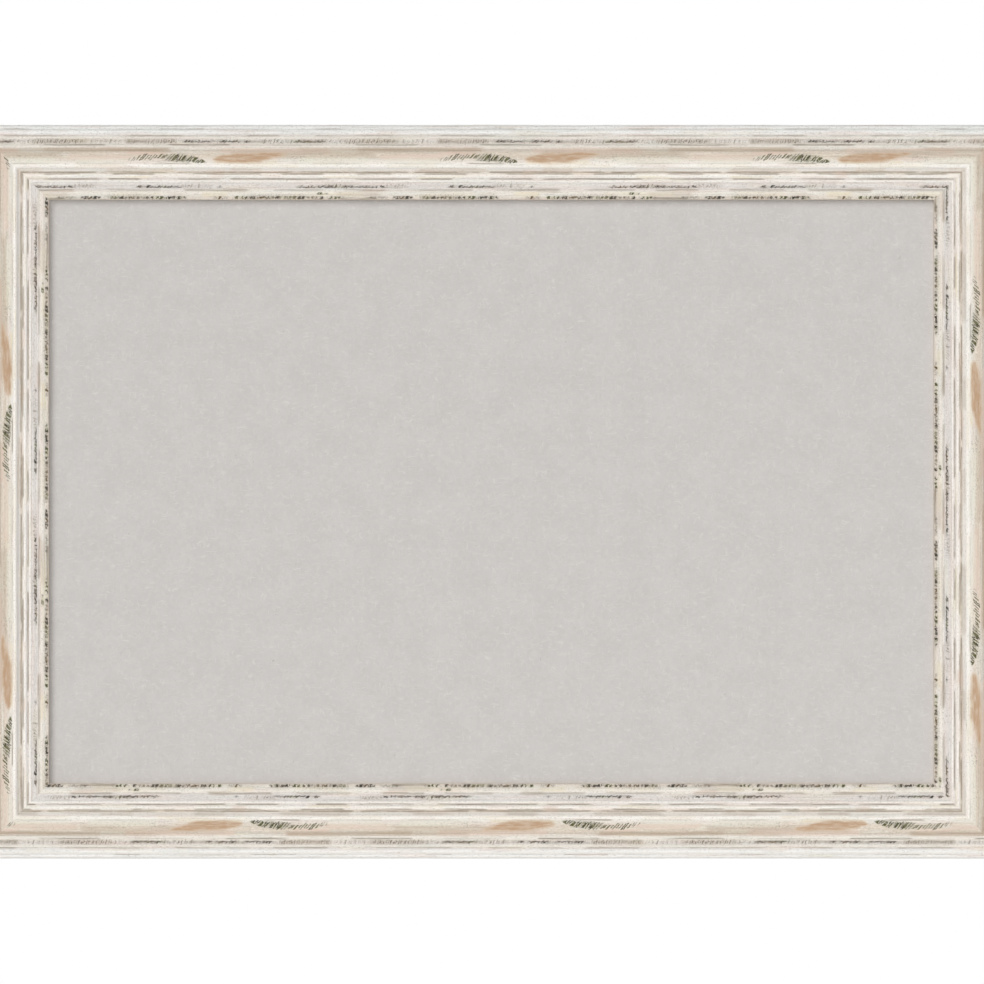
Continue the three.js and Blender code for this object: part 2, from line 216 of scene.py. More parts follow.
wear_rows = {
    "dash": (
        (0.028, 1.05, (
            (-0.185, -0.01, 0.75), (-0.01, 0.055, 1.0), (0.15, 0.19, 0.6), (0.214, 0.447, 1.0),
            (0.46, 0.5, 0.9), (0.513, 0.56, 0.6), (0.64, 0.71, 0.35), (0.722, 0.78, 1.0))),
        (0.081, 0.95, ((0.482, 0.507, 1.0),)),
        (0.174, 1.05, (
            (-0.1, 0.055, 0.95), (0.16, 0.17, 0.6), (0.415, 0.53, 1.0), (0.532, 0.6, 1.0),
            (0.604, 0.7, 0.8))),
        (0.779, 1.1, ((0.05, 0.14, 0.6), (0.145, 0.26, 0.7), (0.39, 0.5, 0.7)))),
    "comb": (
        (0.195, 2.1, ((0.048, 0.14, 0.6), (0.5, 0.592, 0.7), (0.7, 0.775, 0.5))),
        (0.775, 1.7, (
            (0.0, 0.28, 0.35), (0.3, 0.4, 0.75), (0.42, 0.56, 0.5), (0.56, 0.735, 0.8),
            (0.75, 0.85, 0.6), (0.865, 1.025, 0.75))),
        (0.045, 1.7, ((0.26, 0.44, 0.5), (0.8, 0.95, 0.4)))),
    "line": (
        (0.02, 0.8, ((0.553, 0.668, 1.0),)),
        (0.276, 0.6, ((-0.19, -0.09, 1.0), (0.03, 0.17, 0.8), (0.2, 0.52, 0.9), (0.6, 0.78, 0.7))),
        (0.13, 1.0, ((-0.2, -0.02, 0.5), (0.05, 0.26, 0.6), (0.34, 0.5, 0.5), (0.56, 0.7, 0.6))),
        (0.366, 0.6, (
            (-0.21, -0.07, 1.0), (-0.07, 0.0, 0.6), (0.03, 0.22, 1.0), (0.22, 0.4, 0.8),
            (0.42, 0.56, 1.0), (0.56, 0.77, 0.9))),
        (0.343, 0.8, ((-0.18, -0.04, 0.7), (0.08, 0.3, 0.6), (0.36, 0.5, 0.7), (0.6, 0.72, 0.6))),
        (0.483, 0.6, ((-0.3, -0.13, 0.35), (-0.04, 0.08, 0.7), (0.46, 0.62, 0.4))),
        (0.732, 0.7, ((0.0, 0.2, 0.8), (0.33, 0.5, 0.4), (0.6, 0.8, 0.7))),
        (0.775, 1.1, ((0.24, 0.32, 0.5), (0.4, 0.49, 0.6), (0.56, 0.74, 0.35), (0.87, 1.02, 0.4))),
        (0.855, 0.65, ((-0.13, 0.05, 0.6), (0.12, 0.2, 0.4), (0.25, 0.36, 0.55), (0.47, 0.72, 0.5))),
        (0.945, 0.65, (
            (-0.03, 0.12, 0.5), (0.18, 0.32, 0.3), (0.47, 0.56, 0.5), (0.83, 0.93, 0.35)))),
    "stain": (
        (0.667, 1.6, ((0.42, 0.75, 0.35), (0.6, 1.006, 0.7), (0.8, 1.006, 0.75))),
        (0.605, 2.4, ((0.2, 0.66, 0.4),)),
        (0.125, 1.8, ((0.18, 0.25, 0.35),)),
        (0.075, 1.7, ((0.54, 0.68, 0.4), (0.0, 0.05, 0.2))),
        (0.4, 1.3, ((-0.2, 0.02, 0.4), (0.2, 0.3, 0.4), (0.5, 0.6, 0.3))),
        (0.785, 2.0, ((0.56, 0.75, 0.25), (0.86, 1.03, 0.3)))),
    "curl": ((0.56, 2.8, ((0.385, 0.45, 0.95), (0.46, 0.585, 0.5), (0.6, 0.64, 0.4), (0.93, 0.97, 0.4))),),
    "cream": (
        (0.497, 1.1, ((0.15, 0.352, 1.0),)),
        (0.075, 1.8, ((-0.18, -0.02, 0.45), (0.11, 0.19, 0.9), (0.4, 0.62, 0.5))),
        (0.3, 1.0, ((-0.2, -0.06, 0.7), (0.5, 0.62, 0.5))),
        (0.45, 1.2, ((0.2, 0.42, 0.5), (0.7, 0.86, 0.4)))),
    "pink": (
        (0.655, 1.7, ((0.17, 0.52, 0.75),)),
        (0.618, 1.1, ((-0.13, -0.01, 0.9),)),
        (0.34, 2.6, ((0.135, 0.18, 0.6), (0.3, 0.36, 0.3))),
        (0.57, 2.2, ((-0.32, -0.12, 0.6), (0.315, 0.36, 0.6))),
        (0.12, 1.4, ((0.62, 0.7, 0.5),))),
    "pale": (
        (0.52, 2.6, ((0.42, 0.64, 0.8), (-0.3, -0.13, 0.6))),
        (0.63, 1.6, ((0.52, 0.6, 0.4),))),
}

# Patches: at each share of the repeat, their lower and upper edge as shares of the moulding's width

hatch_edges = (
    (-0.128, 0.515, 0.545), (-0.1, 0.52, 0.58), (-0.07, 0.53, 0.61), (-0.04, 0.525, 0.618),
    (0.0, 0.508, 0.612), (0.048, 0.492, 0.606), (0.08, 0.49, 0.585), (0.1, 0.49, 0.55),
    (0.124, 0.495, 0.51),
)
tan_edges = (
    (0.138, 0.525, 0.545), (0.16, 0.497, 0.58), (0.186, 0.487, 0.605), (0.222, 0.483, 0.624),
    (0.29, 0.49, 0.633), (0.315, 0.52, 0.636), (0.345, 0.56, 0.634), (0.385, 0.6, 0.632),
)
HATCH_SOFTNESS = 0.7
TAN_SOFTNESS = 1.7


def row_strength(rows, turn, across):
    """The strongest mark of one kind of rows at each place."""
    strength = np.zeros_like(turn)
    for centre, half_width, runs in rows:
        band = np.exp(-((across - centre * moulding_width) / half_width) ** 4)
        for start, end, power in runs:
            off = np.abs((turn - (start + end) / 2 + 0.5) % 1 - 0.5)
            here = smoothstep((end - start) / 2 - off, -RUN_SOFTNESS, RUN_SOFTNESS)
            strength = np.maximum(strength, band * power * here)
    return strength


def patch_at(edges, turn, across, softness):
    """A long patch between its two edges, and the way off its middle line."""
    place, lower, upper = np.array(edges).T
    share = (turn - place[0]) % 1 + place[0]
    lower = np.interp(share, place, lower) * moulding_width
    upper = np.interp(share, place, upper) * moulding_width
    depth = np.minimum(across - lower, upper - across)
    strength = smoothstep(depth, -softness, softness) * smoothstep(upper - lower, 0, 3.0)
    return strength * (share < place[-1]), across - (lower + upper) / 2


def wear_at(turn, across, on_face):
    """All the marks of the finish at each place of a rail, and the way to the nearest row of dashes."""
    marks = {kind: row_strength(rows, turn, across) for kind, rows in wear_rows.items()}
    marks["hatch"], hatch_off = patch_at(hatch_edges, turn, across, HATCH_SOFTNESS)
    marks["tan"], tan_off = patch_at(tan_edges, turn, across, TAN_SOFTNESS)
    marks = {kind: strength * on_face for kind, strength in marks.items()}
    off = across[..., None] - np.array([row[0] for row in wear_rows["dash"]]) * moulding_width
    nearest = np.abs(off).argmin(axis=-1)
    marks["row_off"] = np.take_along_axis(off, nearest[..., None], axis=-1)[..., 0]
    marks["row_number"] = nearest.astype(float)
    marks["hatch_off"] = hatch_off
    return marks


# Meshes

def store(mesh, name, values):
    """Keeps a number for each vertex under a name, for a material to read."""
    mesh.attributes.new(name, "FLOAT", "POINT").data.foreach_set("value", values.astype(np.float32))


def corners_of(mesh):
    """For every corner of every face, the vertex and the face that it belongs to."""
    sides = read(mesh.polygons, "loop_total", int)
    return read(mesh.loops, "vertex_index", int), np.repeat(np.arange(len(sides)), sides)


def set_bake_map(mesh, u, v):
    """Stores a flat place for every corner of every face, for textures that are baked later."""
    layer = mesh.uv_layers.new(name="OFBake")
    layer.data.foreach_set("uv", np.stack([u, v], axis=1).astype(np.float32).ravel())


def mesh_from(name, points, faces, crisp_degrees=38):
    """A mesh from points in millimetres and the corners of its faces, turned outward."""
    mesh = bpy.data.meshes.new(name)
    mesh.from_pydata((np.reshape(points, (-1, 3)) * MM).tolist(), [], faces)
    work = bmesh.new()
    work.from_mesh(mesh)
    bmesh.ops.recalc_face_normals(work, faces=work.faces)
    work.to_mesh(mesh)
    work.free()
    mesh.polygons.foreach_set("use_smooth", [True] * len(mesh.polygons))
    mesh.set_sharp_from_angle(angle=math.radians(crisp_degrees))
    return mesh


def grid_faces(columns, rows):
    """The corners of the faces between points that stand in columns of rows."""
    first = (np.arange(columns - 1)[:, None] * rows + np.arange(rows - 1)).ravel()
    return np.stack([first, first + 1, first + rows + 1, first + rows], axis=1).tolist()


def loft(name, rings, closed=False, crisp_degrees=38):
    """A skin through rings of points, its ends filled or, if closed, joined to each other."""
    count = len(rings[0])
    faces = []
    for i in range(len(rings) if closed else len(rings) - 1):
        here = i * count
        ahead = (i + 1) % len(rings) * count
        for j in range(count):
            k = (j + 1) % count
            faces.append([here + j, here + k, ahead + k, ahead + j])
    if not closed:
        faces += [list(range(count)), list(range((len(rings) - 1) * count, len(rings) * count))]
    return mesh_from(name, rings, faces, crisp_degrees)


def turned(name, outline, sides, place, relief=None):
    """A body turned about Y through place, from an outline of radius and y."""
    radius, y = np.array(outline).T[:, :, None]
    angle = np.arange(sides) * 2 * math.pi / sides
    x, y, z = radius * np.cos(angle), y + 0 * angle, radius * np.sin(angle)
    if relief:
        x, y, z = relief(x, y, z)
    return loft(name, np.stack([x, y, z], axis=-1) + place, crisp_degrees=50)


def inside(point, outline):
    """True if a flat point lies in an outline, by counting the sides to its right."""
    x, y = outline.T
    next_x, next_y = np.roll(outline, -1, axis=0).T
    beside = (y > point[1]) != (next_y > point[1])
    rise = np.where(beside, next_y - y, 1)
    return (beside & (point[0] < x + (point[1] - y) * (next_x - x) / rise)).sum() % 2 == 1


def plate(loops, ties=()):
    """Faces between the first loop of flat points and the other loops, which are holes."""
    flat = [Vector(point) for loop in loops for point in loop]
    edges = list(ties)
    start = 0
    for loop in loops:
        edges += [(start + i, start + (i + 1) % len(loop)) for i in range(len(loop))]
        start += len(loop)
    points, _, faces, *_ = delaunay_2d_cdt(flat, edges, [], 1, 1e-6)
    assert len(points) == len(flat)
    middles = [sum((points[i] for i in corners), Vector((0, 0))) / len(corners) for corners in faces]
    return [
        list(corners) for corners, middle in zip(faces, middles)
        if not any(inside(middle, hole) for hole in loops[1:])
    ]


def show(name, mesh, body, slot, material, *nodes):
    """A piece that rides on a CAD body, in a material, in the place of CAD nodes."""
    piece = bpy.data.objects.new(name, mesh)
    scene.collection.objects.link(piece)
    mesh.materials.append(material)
    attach(piece, body)
    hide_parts(*nodes)


# Material graphs

def linear(red, green, blue):
    """A colour as seen on a screen, from 0 to 255, as the numbers that a shader takes."""
    shares = np.array((red, green, blue)) / 255
    low = shares <= 0.04045
    return (*np.where(low, shares / 12.92, ((shares + 0.055) / 1.055) ** 2.4).tolist(), 1.0)


class Value:
    """One output of a node. Sums and products with it are outputs of further nodes."""

    def __init__(self, graph, socket):
        self.graph = graph
        self.socket = socket

    def math(self, operation, other=0.0):
        return self.graph.node("Math", {0: self, 1: other}, operation=operation)

    def __add__(self, other):
        return self.math("ADD", other)

    def __sub__(self, other):
        return self.math("SUBTRACT", other)

    def __mul__(self, other):
        return self.math("MULTIPLY", other)

    def __truediv__(self, number):
        return self * (1 / number)

    def __abs__(self):
        return self.math("ABSOLUTE")

    def most(self, other):
        return self.math("MAXIMUM", other)

    def least(self, other):
        return self.math("MINIMUM", other)

    def rise(self, low, high, to_low=0.0, to_high=1.0):
        """A smooth rise from to_low, where this is low, to to_high, where it is high."""
        return self.graph.node("MapRange", {
            "Value": self, "From Min": low, "From Max": high, "To Min": to_low, "To Max": to_high,
        }, interpolation_type="SMOOTHSTEP")

    def split(self):
        """The three numbers of a vector or a colour."""
        apart = self.graph.node("SeparateXYZ", {0: self}).socket.node
        return [Value(self.graph, socket) for socket in apart.outputs]


class Graph:
    """The nodes of a material or a world."""

    def __init__(self, owner):
        owner.use_nodes = True
        self.owner = owner
        self.tree = owner.node_tree
        self.tree.nodes.clear()

    def node(self, kind, inputs={}, output=0, **settings):
        """An output of a new node. Its inputs are numbers, colours or Values."""
        made = self.tree.nodes.new("ShaderNode" + kind)
        for setting, value in settings.items():
            setattr(made, setting, value)
        for place, value in inputs.items():
            if isinstance(value, Value):
                self.tree.links.new(value.socket, made.inputs[place])
            else:
                made.inputs[place].default_value = value
        return Value(self, made.outputs[output]) if made.outputs else None

    def stored(self, *names):
        """The numbers that each vertex holds under some names."""
        return [self.node("Attribute", output="Fac", attribute_name=name) for name in names]

    def place(self):
        """The place on the object at rest, in millimetres, as three numbers."""
        place = self.node("TexCoord", output="Object")
        return self.node("VectorMath", {0: place, "Scale": 1 / MM}, operation="SCALE").split()

    def vector(self, x, y, z=0.0):
        return self.node("CombineXYZ", {0: x, 1: y, 2: z})

    def noise(self, x, y, z, detail=2.0, roughness=0.5):
        return self.node("TexNoise", {
            "Vector": self.vector(x, y, z), "Scale": 1.0, "Detail": detail, "Roughness": roughness,
        })

    def mix(self, factor, a, b):
        return self.node("Mix", {0: factor, 6: a, 7: b}, output=2, data_type="RGBA")

    def layers(self, colour, *layers):
        """A colour under layers: each shows where its value rises from low to high, up to a share."""
        for value, low, high, share, layer in layers:
            colour = self.mix(value.rise(low, high, 0.0, share), colour, layer)
        return colour

    def strokes(self, run, off, seed, spacing, lean, half_width, half_length):
        """Short strokes side by side: run is the place along their row, off the way across it."""
        place = (run - off * lean) / spacing
        chance = self.vector(place.math("FLOOR") + 0.5, seed)
        one, two, three = self.node(
            "TexWhiteNoise", {"Vector": chance}, output="Color", noise_dimensions="2D").split()
        away = abs(place.math("FRACT") - (one * 0.5 + 0.25)) * spacing
        width = two * half_width + half_width * 0.4
        reach = (three * 0.7 + 0.45) * half_length
        past = reach - abs(off - (two - 0.5) * (half_length * 0.7))
        return (width - away).rise(-0.12, 0.12) * past.rise(-0.25, 0.25) * (one * 0.45 + 0.55)

    def finish(self, colour, roughness, height, bump_mm, metallic=0.0, specular=0.5):
        """The surface shader, with a bump whose height runs from 0 to 1 times bump_mm."""
        bump = self.node("Bump", {"Height": height, "Distance": bump_mm * MM, "Strength": 1.0})
        shader = self.node("BsdfPrincipled", {
            "Base Color": colour, "Roughness": roughness, "Metallic": metallic,
            "Specular IOR Level": specular, "Normal": bump,
        })
        self.node("OutputMaterial", {"Surface": shader})
        return self.owner


def material_graph(name):
    return Graph(bpy.data.materials.new(name))


# The moulding's finish: a few paints, the one on each member from the sight edge
# outward, and the colours of the wear over them

WARM_WHITE = linear(250, 245, 238)
COLD_WHITE = linear(250, 250, 248)
COLD_GREY = linear(234, 234, 232)
PALE_PAINT = linear(238, 232, 222)
GREY_PAINT = linear(220, 214, 210)
BEIGE_PAINT = linear(218, 205, 188)
# Browned paint, partly painted shade where it lies in the hollows and on the sight arris
BROWNED_AND_SHADED_PAINT = linear(206, 194, 180)
# The darker paints in the hollows and on the sight arris are partly the finish's own colour and partly
# painted shade; the grey on the outer bead's fall is painted shade
member_paints = (
    # sight arris: partly worn paint, partly painted shade
    (0.0, BROWNED_AND_SHADED_PAINT),      # sight arris
    (0.06, PALE_PAINT),        # sight bead, its rise and its top
    (0.1, PALE_PAINT),
    (0.14, GREY_PAINT),        # flat band
    (0.222, GREY_PAINT),
    (0.247, WARM_WHITE),       # small bead
    # quirk: partly wash gathered there, partly painted shade
    (0.277, GREY_PAINT),       # quirk between the beads
    (0.3, WARM_WHITE),         # full bead
    (0.335, WARM_WHITE),
    # groove: partly wash gathered there, partly painted shade
    (0.366, BROWNED_AND_SHADED_PAINT),    # groove under the riser
    (0.392, WARM_WHITE),       # riser and ridge
    (0.47, WARM_WHITE),
    (0.56, BEIGE_PAINT),       # crown
    (0.62, BEIGE_PAINT),
    # quirk: partly wash gathered there, partly painted shade
    (0.668, BROWNED_AND_SHADED_PAINT),    # quirk beside the crown
    (0.71, PALE_PAINT),        # fillet
    (0.75, PALE_PAINT),
    (0.788, GREY_PAINT),       # cove
    (0.835, PALE_PAINT),       # bead
    # quirk: partly wash gathered there, partly painted shade
    (0.861, GREY_PAINT),       # quirk between bead and outer bead
    (0.905, COLD_WHITE),       # outer bead
    (0.935, COLD_WHITE),
    # the outer bead's fall: painted shade
    (0.96, COLD_GREY),         # its fall
    (0.985, COLD_WHITE),       # outer wall
    (1.0, COLD_WHITE),
)
WHITEST_PAINT = linear(252, 248, 242)
PINK_WASH = linear(228, 208, 198)
YELLOW_WASH = linear(232, 224, 196)
COOL_WASH = linear(216, 220, 214)
THIN_WASH = linear(192, 178, 158)
CLEAN_WHITE = linear(246, 241, 233)
GREY_GRAIN = linear(172, 164, 152)
TAN = linear(187, 154, 124)
TAN_EDGE = linear(208, 186, 162)
BROWN_STAIN = linear(172, 150, 126)
OLIVE_BLACK = linear(66, 64, 42)
OLIVE = linear(98, 98, 58)
HATCH_HAZE = linear(164, 162, 142)
DASH_DARK = linear(58, 54, 46)
DASH_GREEN = linear(78, 80, 44)
DASH_OCHRE = linear(92, 74, 40)
SMEAR_GREEN = linear(150, 152, 104)
COMB_BROWN = linear(124, 110, 90)
COMB_DARK = linear(120, 109, 90)
LINE_BROWN = linear(150, 138, 120)
LINE_DARK = linear(138, 126, 108)
CREAM = linear(230, 216, 184)
PINK_BEIGE = linear(222, 198, 182)
GREEN_WHITE = linear(230, 228, 212)
PALE_PINE = linear(214, 186, 146)
PINE_GRAIN = linear(182, 144, 100)
PINE_PORE = linear(150, 112, 74)


def moulding_material():
    g = material_graph("whitewashed_moulding")
    along, girth, seed, face_share, painted, painted_light_gain = g.stored(
        "along", "girth", "seed", "face_share", "painted", "painted_light_gain")
    dash, comb, line, stain, curl, cream, pink, pale = g.stored(
        "dash", "comb", "line", "stain", "curl", "cream", "pink", "pale")
    hatch, tan, row_off, row_number, hatch_off = g.stored(
        "hatch", "tan", "row_off", "row_number", "hatch_off")
    wrapped = (along / REPEAT + 0.3).math("FRACT") * REPEAT

    def streaks(length, width, offset, detail=2.0, roughness=0.5):
        """Noise drawn out along the rail; length and width in millimetres."""
        return g.noise(along / length, girth / width, seed + offset, detail, roughness)

    def repeated(lengthwise, crosswise, number):
        """Noise that repeats with the roller's turn, with so many bumps a millimetre."""
        return g.noise(wrapped * lengthwise, crosswise, number, 1.0)

    brush = streaks(34, 0.62, 7.3, 3.0, 0.6)
    long_streaks = streaks(110, 1.25, 0.0, 3.0, 0.6)
    fine = streaks(9, 0.5, 17.7)
    dabs = streaks(2.4, 0.6, 71.9, 2.0, 0.65)
    tint = streaks(48, 3.2, 29.7)
    grit = streaks(1.3, 0.8, 41.9, 1.0)
    fibre = streaks(6, 0.9, 53.3)

    # Whitewash of each member, brushed out along the rail so that the wash under it shows in streaks
    ramp = g.node("ValToRGB", {0: face_share})
    elements = ramp.socket.node.color_ramp.elements
    elements.remove(elements[-1])
    for number, (share, paint) in enumerate(member_paints):
        place = float(np.interp(share * moulding_width, *face_share_by_across))
        element = elements.new(place) if number else elements[0]
        element.color = paint
    colour = g.layers(
        ramp,
        (tint, 0.53, 0.68, 0.38, PINK_WASH), (tint, 0.45, 0.32, 0.32, COOL_WASH),
        (streaks(42, 7, 13.1), 0.56, 0.7, 0.25, YELLOW_WASH),
        (long_streaks, 0.53, 0.7, 0.34, THIN_WASH), (long_streaks, 0.46, 0.3, 0.34, CLEAN_WHITE),
        (brush, 0.54, 0.72, 0.34, GREY_GRAIN), (brush, 0.45, 0.3, 0.34, CLEAN_WHITE),
        (fine, 0.55, 0.72, 0.3, GREY_GRAIN), (fine, 0.44, 0.3, 0.3, CLEAN_WHITE),
        (dabs, 0.54, 0.74, 0.5, GREY_GRAIN), (dabs, 0.46, 0.28, 0.58, CLEAN_WHITE),
        (streaks(0.8, 1.0, 77.1, 1.0), 0.61, 0.75, 0.48, COMB_BROWN),
    )

    # Washes of other whites, brown stain, and tan patches rubbed through to the wash
    uneven = streaks(26, 1.3, 91.0).rise(0.36, 0.6, 0.35, 1.0)
    colour = g.mix(pale * uneven * 0.8, colour, GREEN_WHITE)
    colour = g.mix(pink * uneven * 0.9, colour, PINK_BEIGE)
    colour = g.mix(stain * brush.rise(0.3, 0.6, 0.5, 0.9), colour, BROWN_STAIN)
    colour = g.mix(cream * uneven * 0.65, colour, CREAM)
    rubbed = (tan + (streaks(9, 1.7, 97.0, 3.0, 0.6) - 0.5) * 1.5) * tan.rise(0.0, 0.25)
    colour = g.layers(colour, (rubbed, 0.05, 0.85, 0.7, TAN_EDGE), (rubbed, 0.55, 1.2, 0.95, TAN))

    # Thin streaks that gather in the quirks, broken here and there
    gathered = streaks(26, 0.8, 67.0, 3.0, 0.6).rise(0.37, 0.53)
    line_cut = line.rise(0.15, 0.8) * gathered * fibre.rise(0.2, 0.5, 0.5, 1.0)
    colour = g.mix(line * 0.16, colour, LINE_BROWN)
    colour = g.mix(line_cut * 0.7, colour, LINE_DARK)

    # Rows of blots and of comb strokes, their outlines bent so that no two are alike
    ragged = grit.rise(0.22, 0.5, 0.35, 1.0)
    bent_run = wrapped + (repeated(0.5, girth * 0.6, 33.0) - 0.5) * 3.2
    bent_off = row_off + (repeated(0.42, girth * 0.3, 37.0) - 0.5) * 1.5
    round_blots = g.strokes(bent_run, bent_off, row_number, 3.0, 0.5, 0.75, 1.35)
    round_small = g.strokes(bent_run, bent_off, row_number + 7.0, 1.7, -0.4, 0.34, 1.2)
    thin_blots = g.strokes(bent_run, bent_off, row_number + 3.0, 2.3, 0.9, 0.5, 0.95)
    joined = abs(bent_off + 0.3).rise(0.4, 0.14, 0.0, 0.6)
    blots = g.mix(
        row_number.rise(1.4, 1.6), round_blots.most(round_small * 0.7), thin_blots.most(joined))
    pressed = dash.rise(0, 0.7) * repeated(1 / 5.5, row_number, 43.0).rise(0.34, 0.5, 0.1, 1.0)
    dash_cut = (blots * pressed * ragged * 1.5).least(1.0)
    hue = repeated(1 / 17, row_number, 47.0)
    dark = g.layers(DASH_DARK, (hue, 0.52, 0.62, 1.0, DASH_GREEN), (hue, 0.45, 0.36, 1.0, DASH_OCHRE))
    smear = g.mix(hue.rise(0.5, 0.62), COMB_BROWN, SMEAR_GREEN)
    colour = g.mix(dash * fibre.rise(0.35, 0.65, 0.1, 0.42), colour, smear)
    colour = g.mix(dash_cut, colour, dark)
    teeth = g.strokes(bent_run, row_off, row_number + 13.0, 1.65, 0.35, 0.36, 1.7)
    comb_cut = teeth * comb * ragged
    colour = g.mix(comb * 0.14, colour, COMB_BROWN)
    colour = g.mix((comb_cut * 1.3).least(0.9), colour, COMB_DARK)

    # Slanted hatching, its strokes closest together past its middle
    bent = wrapped + (repeated(0.7, girth * 0.7, 31.0) - 0.5) * 1.6
    sparse = g.strokes(bent, hatch_off, 21.0, 2.0, 0.95, 0.38, 2.2)
    dense = g.strokes(bent, hatch_off, 22.0, 1.5, 0.8, 0.32, 2.7)
    second = g.strokes(bent, hatch_off + 0.6, 23.0, 1.8, 0.45, 0.3, 2.0)
    far = wrapped.rise(REPEAT * 0.26, REPEAT * 0.35)
    hatch_cut = sparse.most(dense * far).most(second * (far * 0.8)) * hatch.rise(0.05, 0.55) * ragged
    hatch_cut = (hatch_cut * 1.5).least(1.0)
    straw = repeated(0.45, girth * 0.45, 59.0)
    colour = g.mix(hatch * far * fibre.rise(0.3, 0.6, 0.15, 0.45), colour, HATCH_HAZE)
    colour = g.mix(hatch_cut, colour, g.mix(straw.rise(0.42, 0.62), OLIVE_BLACK, OLIVE))

    # Curled specks and stray dots, and painted light and shade that evens out the lamps between the rails
    curls = abs(repeated(1 / 1.9, girth / 1.5, 17.0) - 0.63).rise(0.035, 0.0)
    colour = g.mix(curl * curls * 0.75, colour, DASH_DARK)
    dots = g.noise(along / 1.1, girth / 0.9, seed + 23.0, 1.0).rise(0.72, 0.77)
    colour = g.mix(dots * 0.65, colour, COMB_BROWN)
    # Painted light and shade: the colour is scaled by the gain that evens out the lamps between the rails
    colour = g.node("VectorMath", {0: colour, "Scale": painted_light_gain}, operation="SCALE")
    colour = g.node("VectorMath", {0: colour, 1: WHITEST_PAINT[:3]}, operation="MINIMUM")

    # Bare wood on the back and in the rabbet
    own_along, own_across, own_height = g.stored("own_along", "own_across", "own_height")
    bow = g.noise(own_along / 190, own_across / 60, seed, 1.0)
    layer = own_across / 3.4 + own_height / 7 + bow * 7.0
    rings = g.noise(own_along / 230, layer, seed + 61.0, 2.0, 0.6)
    pores = g.noise(own_along / 5.5, own_across / 0.4, own_height / 0.4, 1.0)
    wood = g.layers(PALE_PINE, (rings, 0.4, 0.66, 1.0, PINE_GRAIN), (pores, 0.62, 0.72, 0.5, PINE_PORE))
    paint = (painted + (streaks(6, 1.5, 83.0) - 0.5) * 0.8).rise(0.42, 0.58)
    colour = g.mix(paint, wood, colour)

    cuts = hatch_cut.most(dash_cut).most(comb_cut * 0.6)
    height = brush * 0.5 + grit * 0.1 + rings * 0.2 - cuts * 0.5
    return g.finish(colour, brush * 0.2 + 0.66, height, 0.1, specular=0.25)


# Rails

GLUE_LINE = 0.004                 # half the line that shows between two rails at a mitre
RAIL_STEP = 1.5                   # between two rings of a rail's mesh
SLOT_GAP = 0.25                   # between a V-nail and its slot
SLOT_DEPTH = 10.5
SLOT_STOP = 0.12                  # how far short of the mitre a slot ends
PILOT_RADIUS = 1.65
PILOT_DEPTH = 12.2
PILOT_SIDES = 16
V_NAIL_THICKNESS = 0.6

wide = {"half_sight": sight_half_width, "out": sight_half_height}
tall = {"half_sight": sight_half_height, "out": sight_half_width}
rails = (
    {"name": "top", "turn": 0.0, **wide, "first_hatch": -7.6, "seed": 0.0, "towards_key": 1, "up": 1},
    {"name": "right", "turn": 0.5 * math.pi, **tall, "first_hatch": 91.9, "seed": 3.1,
     "towards_key": -1, "up": 0},
    {"name": "bottom", "turn": math.pi, **wide, "first_hatch": -73.3, "seed": 6.7,
     "towards_key": -1, "up": -1},
    {"name": "left", "turn": -0.5 * math.pi, **tall, "first_hatch": 33.5, "seed": 9.4,
     "towards_key": 1, "up": 0},
)


def rail_place(rail, own):
    """Points of the shared frame from a rail's own along, across and height."""
    along, across, height = np.moveaxis(own, -1, 0)
    out = rail["out"] + across
    cosine, sine = math.cos(rail["turn"]), math.sin(rail["turn"])
    return np.stack([
        along * cosine + out * sine, rail_back_y - height, out * cosine - along * sine], axis=-1)


def from_rail_place(rail, points):
    """A rail's own along, across and height of points in the shared frame."""
    x, y, z = points.T
    cosine, sine = math.cos(rail["turn"]), math.sin(rail["turn"])
    return np.c_[x * cosine - z * sine, x * sine + z * cosine - rail["out"], rail_back_y - y]


# Painted light and shade: the paint is made a little lighter where the lamps give a rail less light
# and a little darker where they give it more, so that the four rails look nearly alike from in
# front. The shares are those of the light that a surface facing front gets.

KEY_SHARE = 0.46
FILL_SHARE = 0.31
LOOSE_SHARE = 0.05
FLOOR_SHARE = 0.18
KEY_SLANT = 0.72
KEY_CLIMB = 54.2                  # degrees above the board's plane, in the section's plane
KEY_BLUR = 18
PAINTED_LIGHT_POWER = 0.8
PAINTED_LIGHT_LIMITS = (0.82, 1.35)


def light_on(rail):
    """How much light each sample of the section gets, past the members beside it."""
    across, height = section.T
    run = (across - across[:, None]) * rail["towards_key"]
    climb = np.degrees(np.arctan2(height - height[:, None], np.maximum(run, 0.02)))
    climb = np.where(run > 0.02, climb, -90).max(axis=1)
    reached = smoothstep(KEY_CLIMB - climb, -KEY_BLUR, KEY_BLUR)
    outward, forward = section_normal.T
    facing = np.maximum(forward, 0)
    key = reached * np.maximum(facing + KEY_SLANT * rail["towards_key"] * outward, 0)
    up = rail["up"] * outward
    return KEY_SHARE * key + FILL_SHARE * facing + LOOSE_SHARE * (1 + up) + FLOOR_SHARE * (1 - up)


def painted_light_balance(rail):
    """Painted light and shade: what the paint's tone is multiplied by at each sample of the section."""
    even = np.mean([light_on(each) for each in rails], axis=0)
    on_face = (samples >= face_first) & (samples < lip_first)
    gain = np.where(on_face, even / light_on(rail), 1) ** PAINTED_LIGHT_POWER
    gain = np.convolve(np.r_[gain[:1], gain, gain[-1:]], (0.25, 0.5, 0.25), mode="valid")
    return np.clip(gain, *PAINTED_LIGHT_LIMITS)


